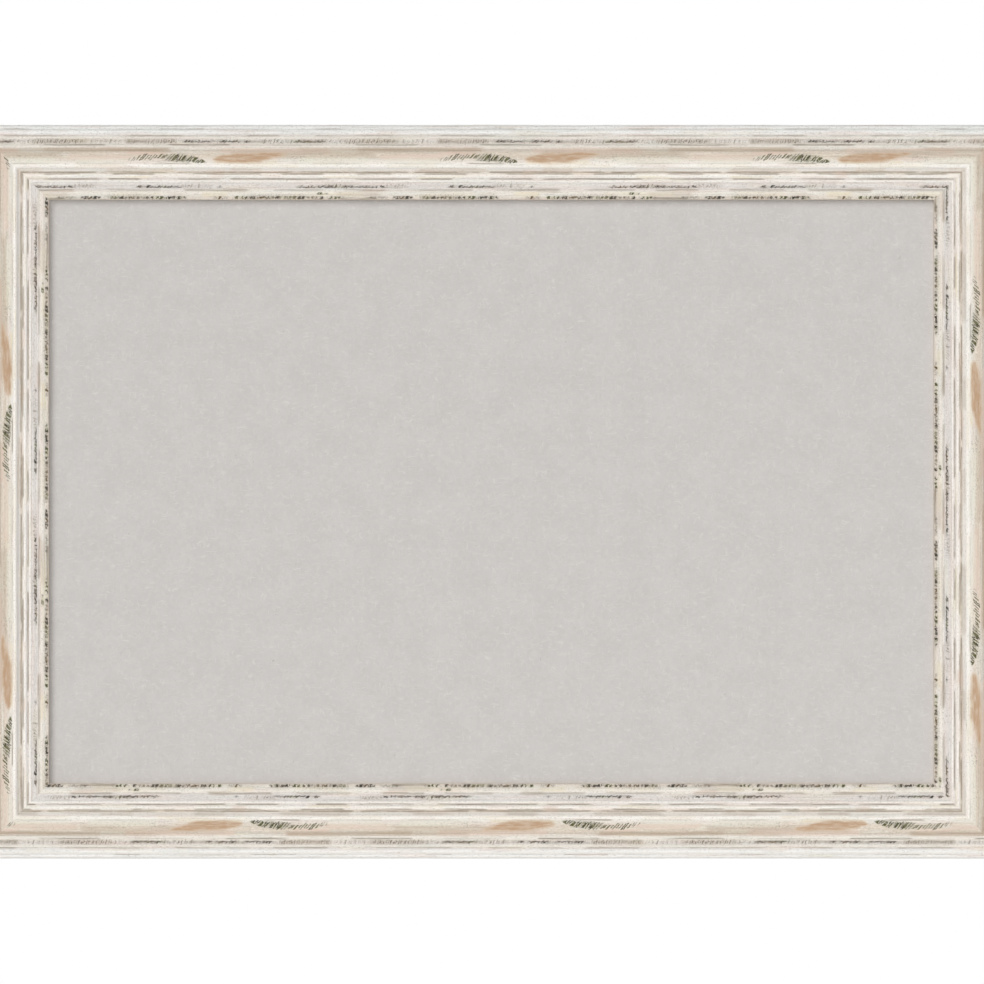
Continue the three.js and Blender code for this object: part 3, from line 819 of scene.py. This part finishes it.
def carve(rail, along, girth, marks):
    """How far hand work and wear move the rail's surface outward."""
    def noise(length, width, number):
        return smooth_noise(along / length, girth / width, int(rail["seed"] * 10) + number)

    def near(sample, reach):
        return np.exp(-((girth - section_girth[sample]) / reach) ** 2)

    chips = noise(3.0, 1.3, 4)
    shown = samples < lip_first
    moved = (0.10 * noise(55, 14, 1) + 0.045 * noise(17, 1.1, 2) + 0.03 * noise(3.1, 1.6, 3)) * shown
    moved -= np.clip(chips, 0, 1) * (0.22 * marks["dash"] + 0.10 * marks["comb"])
    moved -= 0.18 * np.clip(chips + 0.3, 0, 1) * marks["hatch"] + 0.10 * marks["tan"]
    moved -= 0.5 * np.clip(noise(7, 4, 5) - 0.35, 0, 1) * near(face_first, 1.2)
    moved -= 0.35 * np.clip(noise(4.5, 4, 6) - 0.1, 0, 1) * near(lip_first - 1, 0.9)
    return moved


def back_holes(rail):
    """Outlines and depths of the V-nail slots and pilot holes in a rail's back."""
    holes = []
    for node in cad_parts:
        if not node.startswith(("v_nail_", "hanger_screw_")):
            continue
        own = from_rail_place(rail, cad_points(node))
        low, high = own.min(axis=0), own.max(axis=0)
        if low[1] < 0 or high[1] > moulding_width:
            continue
        if node.startswith("hanger"):
            holes.append((circle((low + high)[:2] / 2, PILOT_RADIUS, PILOT_SIDES), PILOT_DEPTH))
            continue
        leg_end = np.abs(own[:, 0]).min() - SLOT_GAP
        outer = high[1] + SLOT_GAP
        inner = outer - V_NAIL_THICKNESS - 2 * SLOT_GAP
        stop = rail["half_sight"] - GLUE_LINE - SLOT_STOP
        outline = np.array([(leg_end, inner), (stop + inner, inner), (stop + outer, outer), (leg_end, outer)])
        holes.append((outline * (math.copysign(1, low[0] + high[0]), 1), SLOT_DEPTH))
    return holes


def rail_mesh(rail):
    """A rail, worn along its face, with slots and pilot holes in its back."""
    half_length = rail["half_sight"] + moulding_width
    rings = int(2 * half_length / RAIL_STEP)
    count = len(section)
    share = np.linspace(-1, 1, rings + 1)[:, None]
    index = samples + np.zeros_like(share, dtype=int)
    across, height = section[index].transpose(2, 0, 1)
    end = rail["half_sight"] + across - GLUE_LINE
    on_face = (index >= face_first) & (index < lip_first)
    marks = wear_at((share * end - rail["first_hatch"]) / REPEAT, across, on_face)
    marks["girth"] = section_girth[index]
    out = carve(rail, share * end, marks["girth"], marks) * smoothstep(end - np.abs(share * end), 0.3, 4)
    across = across + out * section_normal[index, 0]
    height = height + out * section_normal[index, 1]
    along = share * (rail["half_sight"] + across - GLUE_LINE)
    own = np.stack([along, across, height], axis=-1).reshape(-1, 3)
    base = len(own)

    # Each face's kind says where it is baked: 0 and 1 the halves of the skin, 2 and 3 the ends,
    # 4 the back, 5 the walls and floors of its holes
    faces = grid_faces(rings + 1, count)
    kinds = (np.repeat(np.arange(rings), count - 1) >= rings // 2).astype(int).tolist() + [2, 3]
    faces += [list(range(count)), list(range(rings * count, base))]
    holes = back_holes(rail)
    line = np.arange(rings + 1) * count
    rim = np.r_[line, (line + count - 1)[::-1]]
    mouths = sum(len(outline) for outline, depth in holes)
    corner = np.r_[rim, base + np.arange(mouths)]
    back = plate([own[rim, :2], *[outline for outline, depth in holes]])
    faces += [corner[corners].tolist() for corners in back]
    kinds += [4] * len(back)
    start = base
    for outline, depth in holes:
        sides = len(outline)
        for i in range(sides):
            here, ahead = start + i, start + (i + 1) % sides
            faces.append([here, ahead, ahead + mouths, here + mouths])
        start += sides
        faces.append(list(range(start + mouths - sides, start + mouths)))
    kinds = np.array(kinds + [5] * (len(faces) - len(kinds)))
    own = np.vstack(
        [own, *[np.c_[outline, np.zeros(len(outline))] for outline, depth in holes],
         *[np.c_[outline, np.full(len(outline), depth)] for outline, depth in holes]])
    mesh = mesh_from(f"rail_{rail['name']}_moulding", rail_place(rail, own), faces, 55)

    # The edges of the mitred ends are kept crisp, so that the ends shade like the rest
    ends = read(mesh.edges, "vertices", int, 2).reshape(-1, 2)
    at_end = (ends < count).all(axis=1) | ((ends >= rings * count) & (ends < base)).all(axis=1)
    crisp = read(mesh.edges, "use_edge_sharp", bool)
    mesh.edges.foreach_set("use_edge_sharp", crisp | at_end)

    marks["face_share"] = section_face_share[index]
    marks["painted"] = section_painted[index]
    # Painted light and shade, evening out the lamps between the rails
    marks["painted_light_gain"] = painted_light_balance(rail)[index]
    for name, values in marks.items():
        values = np.r_[values.ravel(), np.zeros(len(own) - base)]
        if name == "girth":
            values[base:] = section_girth[-1] + own[base:, 1] - rabbet_width + own[base:, 2]
        store(mesh, name, values)
    store(mesh, "along", own[:, 0] - rail["first_hatch"])
    store(mesh, "seed", np.full(len(own), rail["seed"] * 10))
    for name, values in zip(("own_along", "own_across", "own_height"), own.T):
        store(mesh, name, values)

    vertex, face_of = corners_of(mesh)
    kind = kinds[face_of]
    weight = np.where(samples < face_first, 0.8, np.where(samples < ledge_first - 1, 1.2, 0.5))[1:]
    spread = np.r_[0, np.cumsum(weight * np.diff(section_girth))]
    half_rings = rings // 2
    ring = vertex // count - half_rings * (kind == 1)
    ring_share = ring / np.where(kind == 1, rings - half_rings, half_rings)
    along, across, height = (own / (half_length, moulding_width, height.max()))[vertex].T
    corner = np.arange(len(vertex)) - np.searchsorted(face_of, face_of)
    turn = 2 * math.pi * (corner + 0.5) / np.bincount(face_of)[face_of]
    cell = np.cumsum(kinds == 5)[face_of] - 0.5
    set_bake_map(
        mesh,
        np.select([kind < 2, kind < 4, kind < 5], [
            0.002 + 0.996 * ring_share, 0.02 + 0.5 * (kind - 2) + 0.44 * across,
            0.5 + 0.498 * along], (cell + 0.4 * np.cos(turn)) / (kinds == 5).sum()),
        np.select([kind < 2, kind < 4, kind < 5], [
            0.145 + 0.43 * kind + 0.42 * (spread / spread[-1])[vertex % count],
            0.085 + 0.025 * height, 0.002 + 0.075 * across], 0.128 + 0.008 * np.sin(turn)))
    return mesh


# Cork sheet and backing board

SLAB_EDGE_LINES = np.array((0.0, 0.12, 0.3, 0.6, 1.2))


def slab_mesh(name, node, shown_side, step, edge_radius, relief):
    """A sheet in X and Z, finely meshed on its shown side: -1 for the front, 1 for the back."""
    low, high = cad_box_of(node)
    near = SLAB_EDGE_LINES[:-1]
    lines = []
    for start, stop in (low[0], high[0]), (low[2], high[2]):
        start_line, stop_line = start + SLAB_EDGE_LINES[-1], stop - SLAB_EDGE_LINES[-1]
        middle = np.linspace(start_line, stop_line, int((stop - start) / step) + 1)
        lines.append(np.r_[start + near, middle, (stop - near)[::-1]])
    x, z = np.meshgrid(*lines, indexing="ij")
    from_edge = np.min([x - low[0], high[0] - x, z - low[2], high[2] - z], axis=0)
    inward = np.clip(edge_radius - from_edge, 0, edge_radius)
    drop = edge_radius - np.sqrt(edge_radius ** 2 - inward ** 2) + relief(x, z)
    shown_y, far_y = (low[1], high[1])[::-shown_side]
    points = np.stack([x, shown_y - shown_side * drop, z], axis=-1).reshape(-1, 3)
    faces = grid_faces(*x.shape)
    grid = np.arange(x.size).reshape(x.shape)
    rim = np.r_[grid[:-1, 0], grid[-1, :-1], grid[:0:-1, -1], grid[0, :0:-1]].tolist()
    start = x.size
    side = [0] * len(faces)
    for i, here in enumerate(rim):
        ahead = (i + 1) % len(rim)
        faces.append([here, rim[ahead], start + ahead, start + i])
    faces.append(list(range(start, start + len(rim))))
    points = np.vstack([points, points[rim] * (1, 0, 1) + (0, far_y, 0)])
    mesh = mesh_from(name, points, faces, 180)

    # The shown side is baked on top, the far side and the four edges in thin strips below
    columns, rows = x.shape
    side += [2 + i for i, length in enumerate((columns, rows) * 2) for _ in range(length - 1)] + [1]
    vertex, face_of = corners_of(mesh)
    side = np.array(side)[face_of]
    u, v = ((points - low) / (high - low))[vertex][:, (0, 2)].T
    strip = 0.022 + 0.009 * side + 0.006 * (vertex >= start)
    set_bake_map(
        mesh, np.where((side == 3) | (side == 5), v, u),
        np.select([side == 0, side == 1], [0.08 + 0.92 * v, 0.035 * v], strip))
    return mesh


def cork_relief(x, z):
    """The low lumps and small pits of pressed cork grains."""
    lumps = 0.5 + 0.5 * smooth_noise(x / 7.5, z / 7.5, 71)
    grains = 0.5 + 0.5 * smooth_noise(x / 2.6, z / 2.6, 72)
    return 0.03 * lumps + 0.04 * grains


def board_relief(x, z):
    """The faint unevenness of pressed fibreboard."""
    return 0.03 + 0.03 * smooth_noise(x / 30, z / 30, 75)


CORK_DEEP = linear(199, 195, 192)
CORK_PALE = linear(203, 199, 196)
CORK_LIGHT_GRAIN = linear(207, 203, 199)
CORK_DARK_GRAIN = linear(194, 190, 186)
CORK_FLECK = linear(214, 211, 207)
CORK_SPECK = linear(186, 181, 174)
CORK_PIT = linear(164, 158, 150)


def cork_material():
    g = material_graph("grey_cork")
    x, y, z = g.place()
    bent_x = x + (g.noise(x * 0.16, z * 0.16, 1.0) - 0.5) * 6.5
    bent_z = z + (g.noise(x * 0.16, z * 0.16, 9.0) - 0.5) * 6.5
    grain_place = {"Vector": g.vector(bent_x / 2.3, bent_z / 1.9, 5.0), "Scale": 1.0}
    tone = g.node("TexVoronoi", grain_place, output="Color").split()[0]
    grain_edge = g.node("TexVoronoi", grain_place, feature="DISTANCE_TO_EDGE")
    cloud = g.noise(x / 22, z / 22, 3.0, 3.0, 0.6)
    fine = g.noise(x * 1.6, z * 1.6, 7.0, 3.0, 0.65)
    level = g.noise(bent_x / 6.4, bent_z / 1.1, 11.0, 1.0)
    upright = g.noise(bent_x / 1.1, bent_z / 5.6, 15.0, 1.0)
    gate = g.noise(x / 9, z / 9, 19.0).rise(0.35, 0.6, 0.35, 1.0)
    flecks = level.rise(0.56, 0.74).most(upright.rise(0.58, 0.76)) * gate
    specks = g.noise(bent_x / 1.7, bent_z / 1.1, 23.0, 1.0).rise(0.7, 0.76)
    pits = g.noise(bent_x / 1.3, bent_z / 1.3, 27.0, 1.0).rise(0.755, 0.79)
    base = g.layers(
        g.mix(cloud.rise(0.35, 0.65), CORK_DEEP, CORK_PALE),
        (tone, 0.55, 1.0, 0.35, CORK_LIGHT_GRAIN), (tone, 0.3, 0.0, 0.35, CORK_DARK_GRAIN),
        (grain_edge, 0.06, 0.0, 0.3, CORK_DARK_GRAIN), (fine, 0.35, 0.65, 0.08, CORK_LIGHT_GRAIN),
    )
    base = g.mix(flecks * 0.7, base, CORK_FLECK)
    base = g.mix(specks * 0.55, base, CORK_SPECK)
    base = g.mix(pits * 0.6, base, CORK_PIT)
    height = tone * 0.25 + fine * 0.3 + grain_edge.rise(0.0, 0.09, 0.0, 0.25) - specks * 0.25 - pits * 0.4
    return g.finish(base, fine * 0.12 + 0.84, height, 0.07, specular=0.22)


def fibreboard_material():
    g = material_graph("fibreboard")
    x, y, z = g.place()
    cloud = g.noise(x / 60, z / 60, 2.0, 4.0, 0.55)
    mottle = g.noise(x / 3.5, z / 3.5, 4.0, 4.0, 0.7)
    fibres = g.noise(x / 2.6, z / 0.35, 6.0).rise(0.62, 0.74)
    fibres = fibres.most(g.noise(x / 0.4, z / 2.4, 8.0).rise(0.64, 0.76))
    base = g.mix(cloud.rise(0.32, 0.68), linear(158, 127, 92), linear(168, 138, 102))
    base = g.layers(base, (mottle, 0.42, 0.7, 0.35, linear(138, 109, 78)))
    base = g.layers(
        g.mix(fibres * 0.5, base, linear(190, 162, 124)),
        (g.noise(x / 1.6, z / 1.2, 12.0, 1.0), 0.72, 0.77, 0.6, linear(92, 68, 46)),
        (g.noise(x / 120, z / 9, 17.0), 0.6, 0.75, 0.18, linear(196, 172, 140)),
    )
    return g.finish(base, mottle * 0.2 + 0.7, mottle * 0.5 + fibres * 0.3, 0.06, specular=0.3)


# Steel and rubber

def steel_material(name, dark, light, tint, roughness, scratch_length):
    """Plated steel with rolling marks, a faint tint in patches and dull spots."""
    g = material_graph(name)
    x, y, z = g.place()
    along = g.noise(x / scratch_length, y * 3.0, z * 6.0, 3.0, 0.6)
    patch = g.noise(x * 0.3, y * 0.3, z * 0.3)
    spots = g.noise(x * 1.7, y * 1.7, z * 1.7)
    base = g.layers(
        dark, (along, 0.3, 0.7, 1.0, light), (patch, 0.45, 0.65, 0.35, tint),
        (spots, 0.62, 0.74, 0.4, dark))
    dull = spots.rise(0.45, 0.7) * 0.16 + along * 0.1 + roughness
    return g.finish(base, dull, along * 0.6 + spots * 0.3, 0.012, metallic=1.0)


def rubber_material():
    g = material_graph("soft_rubber")
    x, y, z = g.place()
    grain = g.noise(x * 2.2, y * 2.2, z * 2.2, 3.0, 0.6)
    cloud = g.noise(x * 0.25, y * 0.25, z * 0.25)
    base = g.layers(
        linear(206, 204, 198), (cloud, 0.35, 0.65, 1.0, linear(224, 222, 217)),
        (grain, 0.6, 0.75, 0.35, linear(178, 174, 166)))
    return g.finish(base, grain * 0.25 + 0.42, grain, 0.02, specular=0.45)


# Shapes of the fastenings

POINT_CORNER = 1.4                # rounding of a framer's point's tail
POINT_RIB = 0.28                  # height of its stamped rib
POINT_BEND = 0.45                 # how far its tail is lifted off the board
POINT_TIP_SHARE = 0.2             # of its length
POINT_COLUMNS = np.linspace(-1, 1, 15)
V_NAIL_LIP = 0.4                  # how far the ends of its legs turn out
V_NAIL_BEND = 0.9                 # radius of its fold
V_NAIL_EDGES = ((0.0, 0.22), (0.1, 0.3), (0.9, 0.3), (1.0, 0.06))   # depth share, half thickness


def point_mesh(name, rail, node):
    """A flexible framer's point: a flat tab with a stamped rib, its tip in the wood."""
    own = from_rail_place(rail, cad_points(node))
    low, high = own.min(axis=0), own.max(axis=0)
    middle, half = (low + high) / 2, (high - low) / 2
    share = np.r_[
        0, 0.012, 0.03, 0.06, 0.1, np.linspace(0.15, 1 - POINT_TIP_SHARE, 14),
        np.linspace(1 - POINT_TIP_SHARE + 0.05, 1, 4)][:, None]
    run = share * 2 * half[1]
    rounded = np.clip(POINT_CORNER - run, 0, POINT_CORNER)
    width = half[0] - (POINT_CORNER - np.sqrt(POINT_CORNER ** 2 - rounded ** 2))
    off = width * np.clip((1 - share) / POINT_TIP_SHARE, 0.04, 1) * POINT_COLUMNS
    window = smoothstep(share, 0.12, 0.22) * smoothstep(share, 0.72, 0.6)
    rib = POINT_RIB * np.exp(-(off / 0.75) ** 4) * window
    level = middle[2] - rib - POINT_BEND * smoothstep(share, 0.35, 0.0)
    bevel = np.where(np.abs(POINT_COLUMNS) > 0.99, 0.7, 1.0) * half[2]
    across = low[1] + run + 0 * off
    near = np.stack([middle[0] + off, across, level - bevel], axis=-1)
    far = np.stack([middle[0] + off, across, level + bevel], axis=-1)
    return loft(name, rail_place(rail, np.concatenate([near, far[:, ::-1]], axis=1)))


def v_nail_mesh(name, node):
    """A folded steel V with turned-out ends, its sharpened edge in the wood."""
    points = cad_points(node)
    flip = np.sign(points.mean(axis=0))[[0, 2]]
    flat = points[:, (0, 2)] * flip
    fold = flat.max(axis=0) - V_NAIL_THICKNESS / 2
    leg = fold[0] - flat[:, 0].min()
    run = np.linspace(leg, V_NAIL_BEND, 12)
    lip = V_NAIL_LIP * smoothstep(run, leg - 0.9, leg)
    turn = np.linspace(0, math.pi / 2, 7)[1:-1]
    arc = V_NAIL_BEND * (np.c_[np.sin(turn), np.cos(turn)] - 1)
    line = fold + np.vstack([np.c_[-run, lip], arc, np.c_[lip, -run][::-1]])
    side = leftward(np.gradient(line, axis=0))
    near_y = points[:, 1].max()
    depth = near_y - points[:, 1].min()
    rings = []
    for share, half in V_NAIL_EDGES:
        outline = np.vstack([line + side * half, (line - side * half)[::-1]]) * flip
        rings.append(np.insert(outline, 1, near_y - share * depth, axis=1))
    return loft(name, rings)


def inset(outline, distance):
    """An outline moved inward, or outward for a hole whose corners run the other way."""
    before = unit(outline - np.roll(outline, 1, axis=0))
    after = unit(np.roll(outline, -1, axis=0) - outline)
    along = unit(before + after)
    stretch = 1 / np.maximum((along * after).sum(axis=1), 0.5)
    return outline + leftward(along) * (distance * stretch)[:, None]


STRAP_BEVEL = 0.12
CURL_ANGLES = np.radians(np.arange(0, 293, 11))   # how far the strap wraps round the ring's bar
ARC_SIDES = 24
BARREL_GAP = 0.25
RING_CORNER = 1.6
WIRE_SIDES = 20
SCREW_HOLE_RADIUS = 1.75


def strap_mesh(name, side):
    """A strap with two screw holes, its upper end curled round the ring's bar."""
    low, high = cad_box_of(f"hanger_strap_{side}")
    ring_low, ring_high = cad_box_of(f"hanger_ring_{side}")
    wire_radius = (ring_high[1] - ring_low[1]) / 2
    bar = np.array([(low[0] + high[0]) / 2, ring_low[1] + wire_radius, ring_high[2] - wire_radius])
    half = (high[0] - low[0]) / 2
    outer = high[2] - bar[2]
    thickness = outer - wire_radius - BARREL_GAP
    middle_radius = outer - thickness / 2

    # Flat first: u runs up the strap and on round the curl, v across it
    curl = CURL_ANGLES * middle_radius
    turn = np.linspace(math.pi / 2, 3 * math.pi / 2, ARC_SIDES + 1)
    tail = (low[2] + half - bar[2], 0) + half * np.c_[np.cos(turn), np.sin(turn)]
    loops = [np.vstack([
        np.c_[curl, np.full(len(curl), -half)], np.c_[curl, np.full(len(curl), half)][::-1], tail])]
    for where in ("upper", "lower"):
        screw_z = cad_box_of(f"hanger_screw_{side}_{where}")[:, 2].mean()
        loops.append(circle((screw_z - bar[2], 0), SCREW_HOLE_RADIUS, ARC_SIDES)[::-1])
    inner = [inset(loop, STRAP_BEVEL) for loop in loops]
    bends = len(curl)
    skin = plate(inner, [(i, 2 * bends - 1 - i) for i in range(bends)])
    full, small = np.vstack(loops), np.vstack(inner)
    count = len(full)
    faces = skin + [[i + 3 * count for i in corners] for corners in skin]
    start = 0
    for loop in loops:
        for i in range(len(loop)):
            here, ahead = start + i, start + (i + 1) % len(loop)
            faces += [
                [level + here, level + ahead, level + count + ahead, level + count + here]
                for level in (0, count, 2 * count)
            ]
        start += len(loop)
    points = []
    rim = thickness / 2 - STRAP_BEVEL
    for (u, v), level in ((small.T, thickness / 2), (full.T, rim), (full.T, -rim), (small.T, -thickness / 2)):
        angle = np.clip(u, 0, None) / middle_radius
        reach = middle_radius + level
        points.append(bar + np.c_[v, -reach * np.cos(angle), np.minimum(u, 0) + reach * np.sin(angle)])
    return mesh_from(name, np.vstack(points), faces, 50)


def ring_mesh(name, side):
    """A D-shaped ring of round wire, its straight bar on top."""
    low, high = cad_box_of(f"hanger_ring_{side}")
    middle = (low + high) / 2
    radius = (high[1] - low[1]) / 2
    half = (high[0] - low[0]) / 2 - radius
    top = high[2] - radius
    bow_z = low[2] + radius + half
    turn = np.linspace(0, math.pi / 2, 9)
    corner = (half - RING_CORNER, top - RING_CORNER) + RING_CORNER * np.c_[np.sin(turn), np.cos(turn)]
    turn = np.linspace(0, math.pi / 2, 25)
    bow = (0, bow_z) + half * np.c_[np.cos(turn), -np.sin(turn)]
    right = np.vstack([
        np.linspace((0, top), corner[0], 13)[:-1], corner, np.linspace(corner[-1], bow[0], 8)[1:-1], bow])
    line = np.vstack([right, right[-2:0:-1] * (-1, 1)])
    outward = leftward(np.roll(line, -1, axis=0) - np.roll(line, 1, axis=0))
    circle_x, circle_y = circle((0, 0), radius, WIRE_SIDES).T[:, :, None]
    x, z = (line[:, None] + outward[:, None] * circle_x).transpose(2, 0, 1)
    y = middle[1] + circle_y[:, 0] + 0 * x
    return loft(name, np.stack([middle[0] + x, y, z], axis=-1), closed=True)


SCREW_SHANK_RADIUS = 1.4
SCREW_HEAD_HEIGHT = 1.9
SCREW_RIM = 0.7
SCREW_TIP = 3.0
RECESS_ARM = 1.75
RECESS_WIDTH = 0.42
RECESS_DEPTH = 1.15
THREAD_PITCH = 1.25
THREAD_DEPTH = 0.3


def screw_mesh(name, node, turn_degrees):
    """A pan-head wood screw along Y with a cross recess, its tip towards the front."""
    low, high = cad_box_of(node)
    head_radius = (high[0] - low[0]) / 2
    seat = high[1] - SCREW_HEAD_HEIGHT
    neck = seat - 0.5
    tip = low[1]
    turn = math.radians(turn_degrees)
    outline = [
        (SCREW_SHANK_RADIUS * min(1.0, (y - tip) / SCREW_TIP + 0.02), y)
        for y in np.linspace(tip, neck, 45)
    ]
    outline += [
        (SCREW_SHANK_RADIUS, seat), (head_radius - 0.25, seat), (head_radius - 0.06, seat + 0.06),
        (head_radius, seat + 0.25), (head_radius, seat + SCREW_RIM),
    ]
    dome = SCREW_HEAD_HEIGHT - SCREW_RIM
    for r in np.r_[np.linspace(head_radius - 0.04, 2.1, 8), np.arange(2.0, 0.04, -0.08)]:
        outline.append((r, seat + SCREW_RIM + dome * math.sqrt(1 - (r / head_radius) ** 2)))

    def relief(x, y, z):
        """The cross recess in the head and the thread on the shank."""
        a = np.abs(x * math.cos(turn) + z * math.sin(turn))
        b = np.abs(z * math.cos(turn) - x * math.sin(turn))
        depth = np.zeros_like(x)
        for arm, side in (a, b), (b, a):
            width = RECESS_WIDTH * (1.15 - 0.4 * arm / RECESS_ARM)
            cut = smoothstep(side, width + 0.07, width - 0.05)
            cut = cut * smoothstep(arm, RECESS_ARM + 0.08, RECESS_ARM - 0.35)
            depth = np.maximum(depth, cut * RECESS_DEPTH * (1 - 0.35 * arm / RECESS_ARM))
        phase = (y / THREAD_PITCH + np.arctan2(z, x) / (2 * math.pi)) % 1
        ridge = np.clip(1 - np.abs(phase - 0.5) * 5, 0, 1)
        root = 1 - THREAD_DEPTH / SCREW_SHANK_RADIUS * (1 - ridge)
        scale = np.where(y < neck + HAIR, root, 1.0)
        return x * scale, y - np.where(y > seat + SCREW_RIM + HAIR, depth, 0), z * scale

    return turned(name, outline, 72, ((low[0] + high[0]) / 2, 0, (low[2] + high[2]) / 2), relief)


def bumper_mesh(name, side):
    """A soft moulded pad with a rounded shoulder and a shallow ring on top."""
    low, high = cad_box_of(f"wall_bumper_{side}")
    centre = ((low[0] + high[0]) / 2, low[1], (low[2] + high[2]) / 2)
    radius = (high[0] - low[0]) / 2
    height = high[1] - low[1]
    rim = 0.3 * height
    outline = [(radius - 0.5, 0.0), (radius - 0.1, 0.08), (radius, 0.3), (radius, rim)]
    for a in np.linspace(0, math.pi / 2, 16)[1:]:
        outline.append((radius - 3.2 + 3.2 * math.cos(a), rim + (height - rim - 0.12) * math.sin(a)))
    outline += [
        (2.9, height - 0.1), (2.7, height), (2.3, height), (2.1, height - 0.14), (1.2, height - 0.2),
        (0.3, height - 0.22),
    ]
    return turned(name, outline, 64, centre)


# The pieces in their places

SCREW_TURNS = {"left_upper": 12, "left_lower": 55, "right_upper": -20, "right_lower": 33}

moulding = moulding_material()
tin = steel_material(
    "fastener_steel", linear(104, 106, 110), linear(140, 142, 144), linear(126, 120, 110), 0.42, 4.0)
zinc = steel_material(
    "plated_steel", linear(168, 170, 173), linear(200, 202, 204), linear(196, 190, 172), 0.26, 8.0)
rubber = rubber_material()
for rail in rails:
    rail_node = "rail_" + rail["name"]
    show("moulding_" + rail["name"], rail_mesh(rail), "board", "whitewashed_wood", moulding, rail_node)
    for node in sorted(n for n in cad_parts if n.startswith(f"point_{rail['name']}_")):
        piece = "framer_" + node
        show(piece, point_mesh(piece, rail, node), "board", "fastener_steel", tin, node)
for node in sorted(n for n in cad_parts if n.startswith("v_nail_")):
    piece = node.replace("v_nail", "mitre_nail")
    show(piece, v_nail_mesh(piece, node), "board", "fastener_steel", tin, node)

cork = slab_mesh("cork_face", "cork_sheet", -1, 2.4, 0.35, cork_relief)
show("cork_face", cork, "board", "grey_cork", cork_material(), "cork_sheet")
backing = slab_mesh("backing_face", "backing_board", 1, 5.0, 0.4, board_relief)
show("backing_face", backing, "board", "fibreboard", fibreboard_material(), "backing_board")

for side in ("left", "right"):
    strap = strap_mesh(f"strap_{side}", side)
    show(f"strap_{side}", strap, "board", "plated_steel", zinc, f"hanger_strap_{side}")
    ring = ring_mesh(f"d_ring_{side}", side)
    show(f"d_ring_{side}", ring, f"ring_{side}", "plated_steel", zinc, f"hanger_ring_{side}")
    pad = bumper_mesh(f"pad_{side}", side)
    show(f"pad_{side}", pad, "board", "soft_rubber", rubber, f"wall_bumper_{side}")
    for where in ("upper", "lower"):
        node = f"hanger_screw_{side}_{where}"
        screw = screw_mesh(f"screw_{side}_{where}", node, SCREW_TURNS[f"{side}_{where}"])
        show(f"screw_{side}_{where}", screw, "board", "plated_steel", zinc, node)


# Camera, lights and floor

PHOTO_PIXELS = 984
PHOTO_MM_PER_PIXEL = 0.67445
BOARD_CENTRE_PIXEL = (491.3, 491.7)
CAMERA_DISTANCE = 10.0
AMBIENT = 0.08
FLOOR_DROP = 0.3
FLOOR_HALF_WIDTH = 5.0
WHITE = (1.0, 1.0, 1.0, 1.0)


def add_object(name, data, place=(0, 0, 0)):
    """An object of the studio, in its place."""
    made = bpy.data.objects.new(name, data)
    made.location = place
    scene.collection.objects.link(made)
    return made


def add_camera():
    """A far camera straight in front, so that the board fills the view as in the photograph."""
    data = bpy.data.cameras.new("camera")
    data.sensor_width = 36
    distance = CAMERA_DISTANCE + (rail_back_y - sight_edge_height) * MM
    data.lens = data.sensor_width * distance / (PHOTO_PIXELS * PHOTO_MM_PER_PIXEL * MM)
    data.clip_end = 100
    off_x, off_z = [(PHOTO_PIXELS / 2 - pixel) * PHOTO_MM_PER_PIXEL * MM for pixel in BOARD_CENTRE_PIXEL]
    scene.camera = add_object("camera", data, (off_x, -CAMERA_DISTANCE, -off_z))
    scene.camera.rotation_euler = (math.pi / 2, 0, 0)


def add_far_light(name, direction, width_degrees, strength):
    """A soft light from far away, so that it is even all over the object."""
    data = bpy.data.lights.new(name, "SUN")
    data.angle = math.radians(width_degrees)
    data.energy = strength
    lamp = add_object(name, data, direction)
    lamp.rotation_euler = (-Vector(direction)).to_track_quat("-Z", "Y").to_euler()


def add_world():
    """An even glow, and plain white for what the camera, metal and glass see of it."""
    scene.world = bpy.data.worlds.new("studio")
    g = Graph(scene.world)
    camera, glossy, through = [
        g.node("LightPath", output=f"Is {ray} Ray") for ray in ("Camera", "Glossy", "Transmission")
    ]
    soft, white = [
        g.node("Background", {"Color": WHITE, "Strength": strength}) for strength in (AMBIENT, 1.0)
    ]
    seen = camera.most(glossy).most(through)
    g.node("OutputWorld", {"Surface": g.node("MixShader", {0: seen, 1: soft, 2: white})})


def add_floor():
    """A plain pale floor that takes the object's shadow, brightened where the camera sees it."""
    mesh = bpy.data.meshes.new("floor")
    low = cad_box[0].z - FLOOR_DROP
    half = FLOOR_HALF_WIDTH
    corners = [(-half, -half, low), (half, -half, low), (half, half, low), (-half, half, low)]
    mesh.from_pydata(corners, [], [(0, 1, 2, 3)])
    add_object("floor", mesh)
    g = material_graph("pale_floor")
    pale = g.node("BsdfDiffuse", {"Color": (0.86, 0.86, 0.86, 1)})
    seen = g.node("LightPath", output="Is Camera Ray")
    glow = g.node("Emission", {"Color": WHITE, "Strength": seen * 0.45})
    g.node("OutputMaterial", {"Surface": g.node("AddShader", {0: pale, 1: glow})})
    mesh.materials.append(g.owner)


add_camera()
add_far_light("key", (-2.16, -3.0, 2.16), 36, 1.92)
add_far_light("front_fill", (0.1, -4.0, 0.3), 9, 0.91)
add_far_light("back_fill", (1.8, 2.6, 1.6), 40, 2.1)
add_world()
add_floor()
scene.view_settings.view_transform = "Standard"
